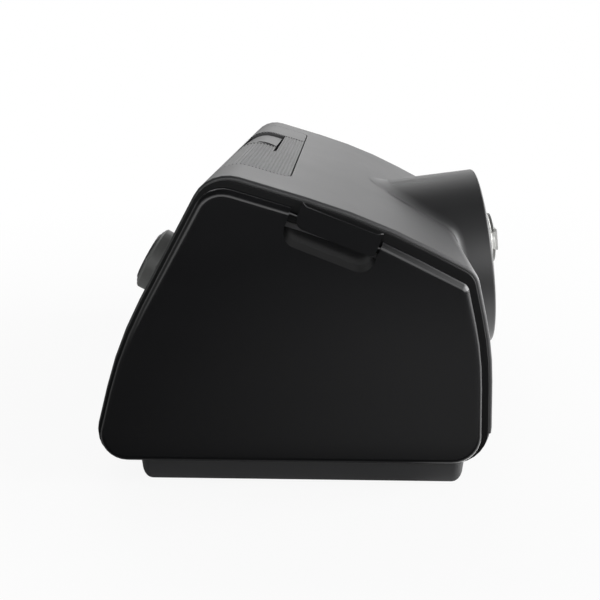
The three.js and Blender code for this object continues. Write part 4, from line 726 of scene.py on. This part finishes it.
def stage_material(name):
    """White floor that keeps a soft shadow, glows in reflections and grows dim towards the camera's side. Its
    glow in reflections carries a painted shadow right before the cover, and its bounced light dims towards
    the cover as painted shade.
    """
    tree = Tree(name)
    path = tree.add("ShaderNodeLightPath")
    split = tree.add("ShaderNodeSeparateXYZ")
    tree.join(tree.coords, split.inputs["Vector"])
    x, y = split.outputs["X"], split.outputs["Y"]
    far = tree.add("ShaderNodeVectorMath", operation="LENGTH")
    tree.join(tree.coords, far.inputs[0])

    def chosen(ray, other, value):
        """The value for one kind of ray, and the other for all the rest."""
        node = tree.add("ShaderNodeMix", data_type="FLOAT")
        tree.join(path.outputs[ray], node.inputs["Factor"])
        for socket, given in ((node.inputs[2], other), (node.inputs[3], value)):
            if isinstance(given, float):
                socket.default_value = given
            else:
                tree.join(given, socket)
        return node.outputs[0]

    before_cover = tree.times(tree.spread(y, *MIRRORED_ASIDE), tree.spread(x, *MIRRORED_FAR_OFF))
    # Painted shadow: the glow that gloss sees drops right before the cover.
    before_cover = tree.times(before_cover, tree.spread(x, *MIRRORED_PAINTED_SHADOW))
    beside = tree.times(tree.spread(x, *MIRRORED_BESIDE), tree.spread(y, *MIRRORED_UNDER_POD))
    bounced = tree.plus(tree.spread(x, *BOUNCED_PAINTED_SHADE), tree.spread(x, *BOUNCED_BESIDE))
    strength = chosen("Is Diffuse Ray", 1.0, bounced)
    strength = chosen("Is Glossy Ray", strength, tree.plus(before_cover, beside))
    share = chosen("Is Camera Ray", BOUNCED_GLOW_SHARE, tree.spread(far.outputs["Value"], *SEEN_GLOW_SHARE))
    share = chosen("Is Glossy Ray", share, 1.0)
    share = chosen("Is Transmission Ray", share, 1.0)
    glow = tree.add("ShaderNodeEmission")
    tree.join(strength, glow.inputs["Strength"])
    plain = tree.add("ShaderNodeBsdfDiffuse")
    plain.inputs["Color"].default_value = FLOOR_WHITE
    blend = tree.add("ShaderNodeMixShader")
    tree.join(share, blend.inputs["Fac"])
    tree.join(plain.outputs["BSDF"], blend.inputs[1])
    tree.join(glow.outputs["Emission"], blend.inputs[2])
    tree.join(blend.outputs["Shader"], tree.output.inputs["Surface"])
    return tree.material


def make_floor():
    shape = bmesh.new()
    bmesh.ops.create_circle(shape, cap_ends=True, radius=FLOOR_RADIUS, segments=FLOOR_SIDES)
    floor = piece_from(shape, "floor")
    clothe(floor, stage_material("floor_white"))


# World. What gloss sees is a sum of walls, and each wall is a product of ramps along a direction's axes.
SEEN_LEVEL, SOFT_LEVEL = 1.0, 0.38
WALLS = {
    "far": (("X", 0.62, 1.0, 0.0, 1.4), ("Y", 0.16, -0.14, 0.1, 1.0), ("Y", -0.34, -0.2, 0.35, 1.0),
            ("Z", 0.64, 0.34, 0.15, 1.0)),
    "near": (("X", -0.25, -0.85, 0.0, 3.7), ("Z", 0.56, 0.22, 0.0, 1.0), ("Z", 0.0, 0.1, 0.35, 1.0)),
    "front": (("Y", -0.42, -0.75, 0.0, 6.2), ("Z", 0.88, 0.5, 0.0, 1.0)),
    "low": (("Z", 0.42, 0.0, 0.05, 0.42),),
}


def make_world():
    """White to the camera, soft to dull surfaces, and a studio of walls to gloss."""
    world = bpy.data.worlds.new("studio")
    world.use_nodes = True
    join, made = world.node_tree.links.new, world.node_tree.nodes
    made.clear()
    output = made.new("ShaderNodeOutputWorld")
    path = made.new("ShaderNodeLightPath")
    sides = made.new("ShaderNodeTexCoord")
    split = made.new("ShaderNodeSeparateXYZ")
    join(sides.outputs["Generated"], split.inputs["Vector"])

    def ramp(axis, low, high, to_low, to_high):
        node = made.new("ShaderNodeMapRange")
        node.interpolation_type = "SMOOTHSTEP"
        node.inputs["From Min"].default_value = low
        node.inputs["From Max"].default_value = high
        node.inputs["To Min"].default_value = to_low
        node.inputs["To Max"].default_value = to_high
        join(split.outputs[axis], node.inputs["Value"])
        return node.outputs["Result"]

    def combined(operation, values):
        total = values[0]
        for value in values[1:]:
            node = made.new("ShaderNodeMath")
            node.operation = operation
            join(total, node.inputs[0])
            join(value, node.inputs[1])
            total = node.outputs["Value"]
        return total

    def background(level):
        node = made.new("ShaderNodeBackground")
        node.inputs["Color"].default_value = (1.0, 1.0, 1.0, 1.0)
        if isinstance(level, float):
            node.inputs["Strength"].default_value = level
        else:
            join(level, node.inputs["Strength"])
        return node.outputs["Background"]

    def blended(share, first, second):
        node = made.new("ShaderNodeMixShader")
        join(share, node.inputs["Fac"])
        join(first, node.inputs[1])
        join(second, node.inputs[2])
        return node.outputs["Shader"]

    walls = [combined("MULTIPLY", [ramp(*steps) for steps in ramps]) for ramps in WALLS.values()]
    seen = combined("MAXIMUM", [path.outputs["Is Camera Ray"], path.outputs["Is Transmission Ray"]])
    lit = blended(path.outputs["Is Glossy Ray"], background(SOFT_LEVEL), background(combined("ADD", walls)))
    join(blended(seen, lit, background(SEEN_LEVEL)), output.inputs["Surface"])
    scene.world = world


# Lamps, each with its place, what it aims at, its width and height, and its watts
LAMPS = {
    "rear_softbox": ((0.95, 0.25, 0.85), (0.0, 0.0, 0.05), (1.0, 1.0), 6.0),
    "front_softbox": ((-0.1, -1.15, 0.42), (0.0, 0.0, 0.06), (0.8, 0.7), 14.0),
}


def make_lamp(name, place, aim, size, power):
    data = bpy.data.lights.new(name, "AREA")
    data.shape = "RECTANGLE"
    data.size, data.size_y = size
    data.energy = power
    lamp = bpy.data.objects.new(name, data)
    scene.collection.objects.link(lamp)
    lamp.location = place
    lamp.rotation_mode = "QUATERNION"
    lamp.rotation_quaternion = (Vector(aim) - Vector(place)).to_track_quat("-Z", "Y")


make_floor()
make_world()
for name, settings in LAMPS.items():
    make_lamp(name, *settings)
scene.view_settings.view_transform = "Standard"
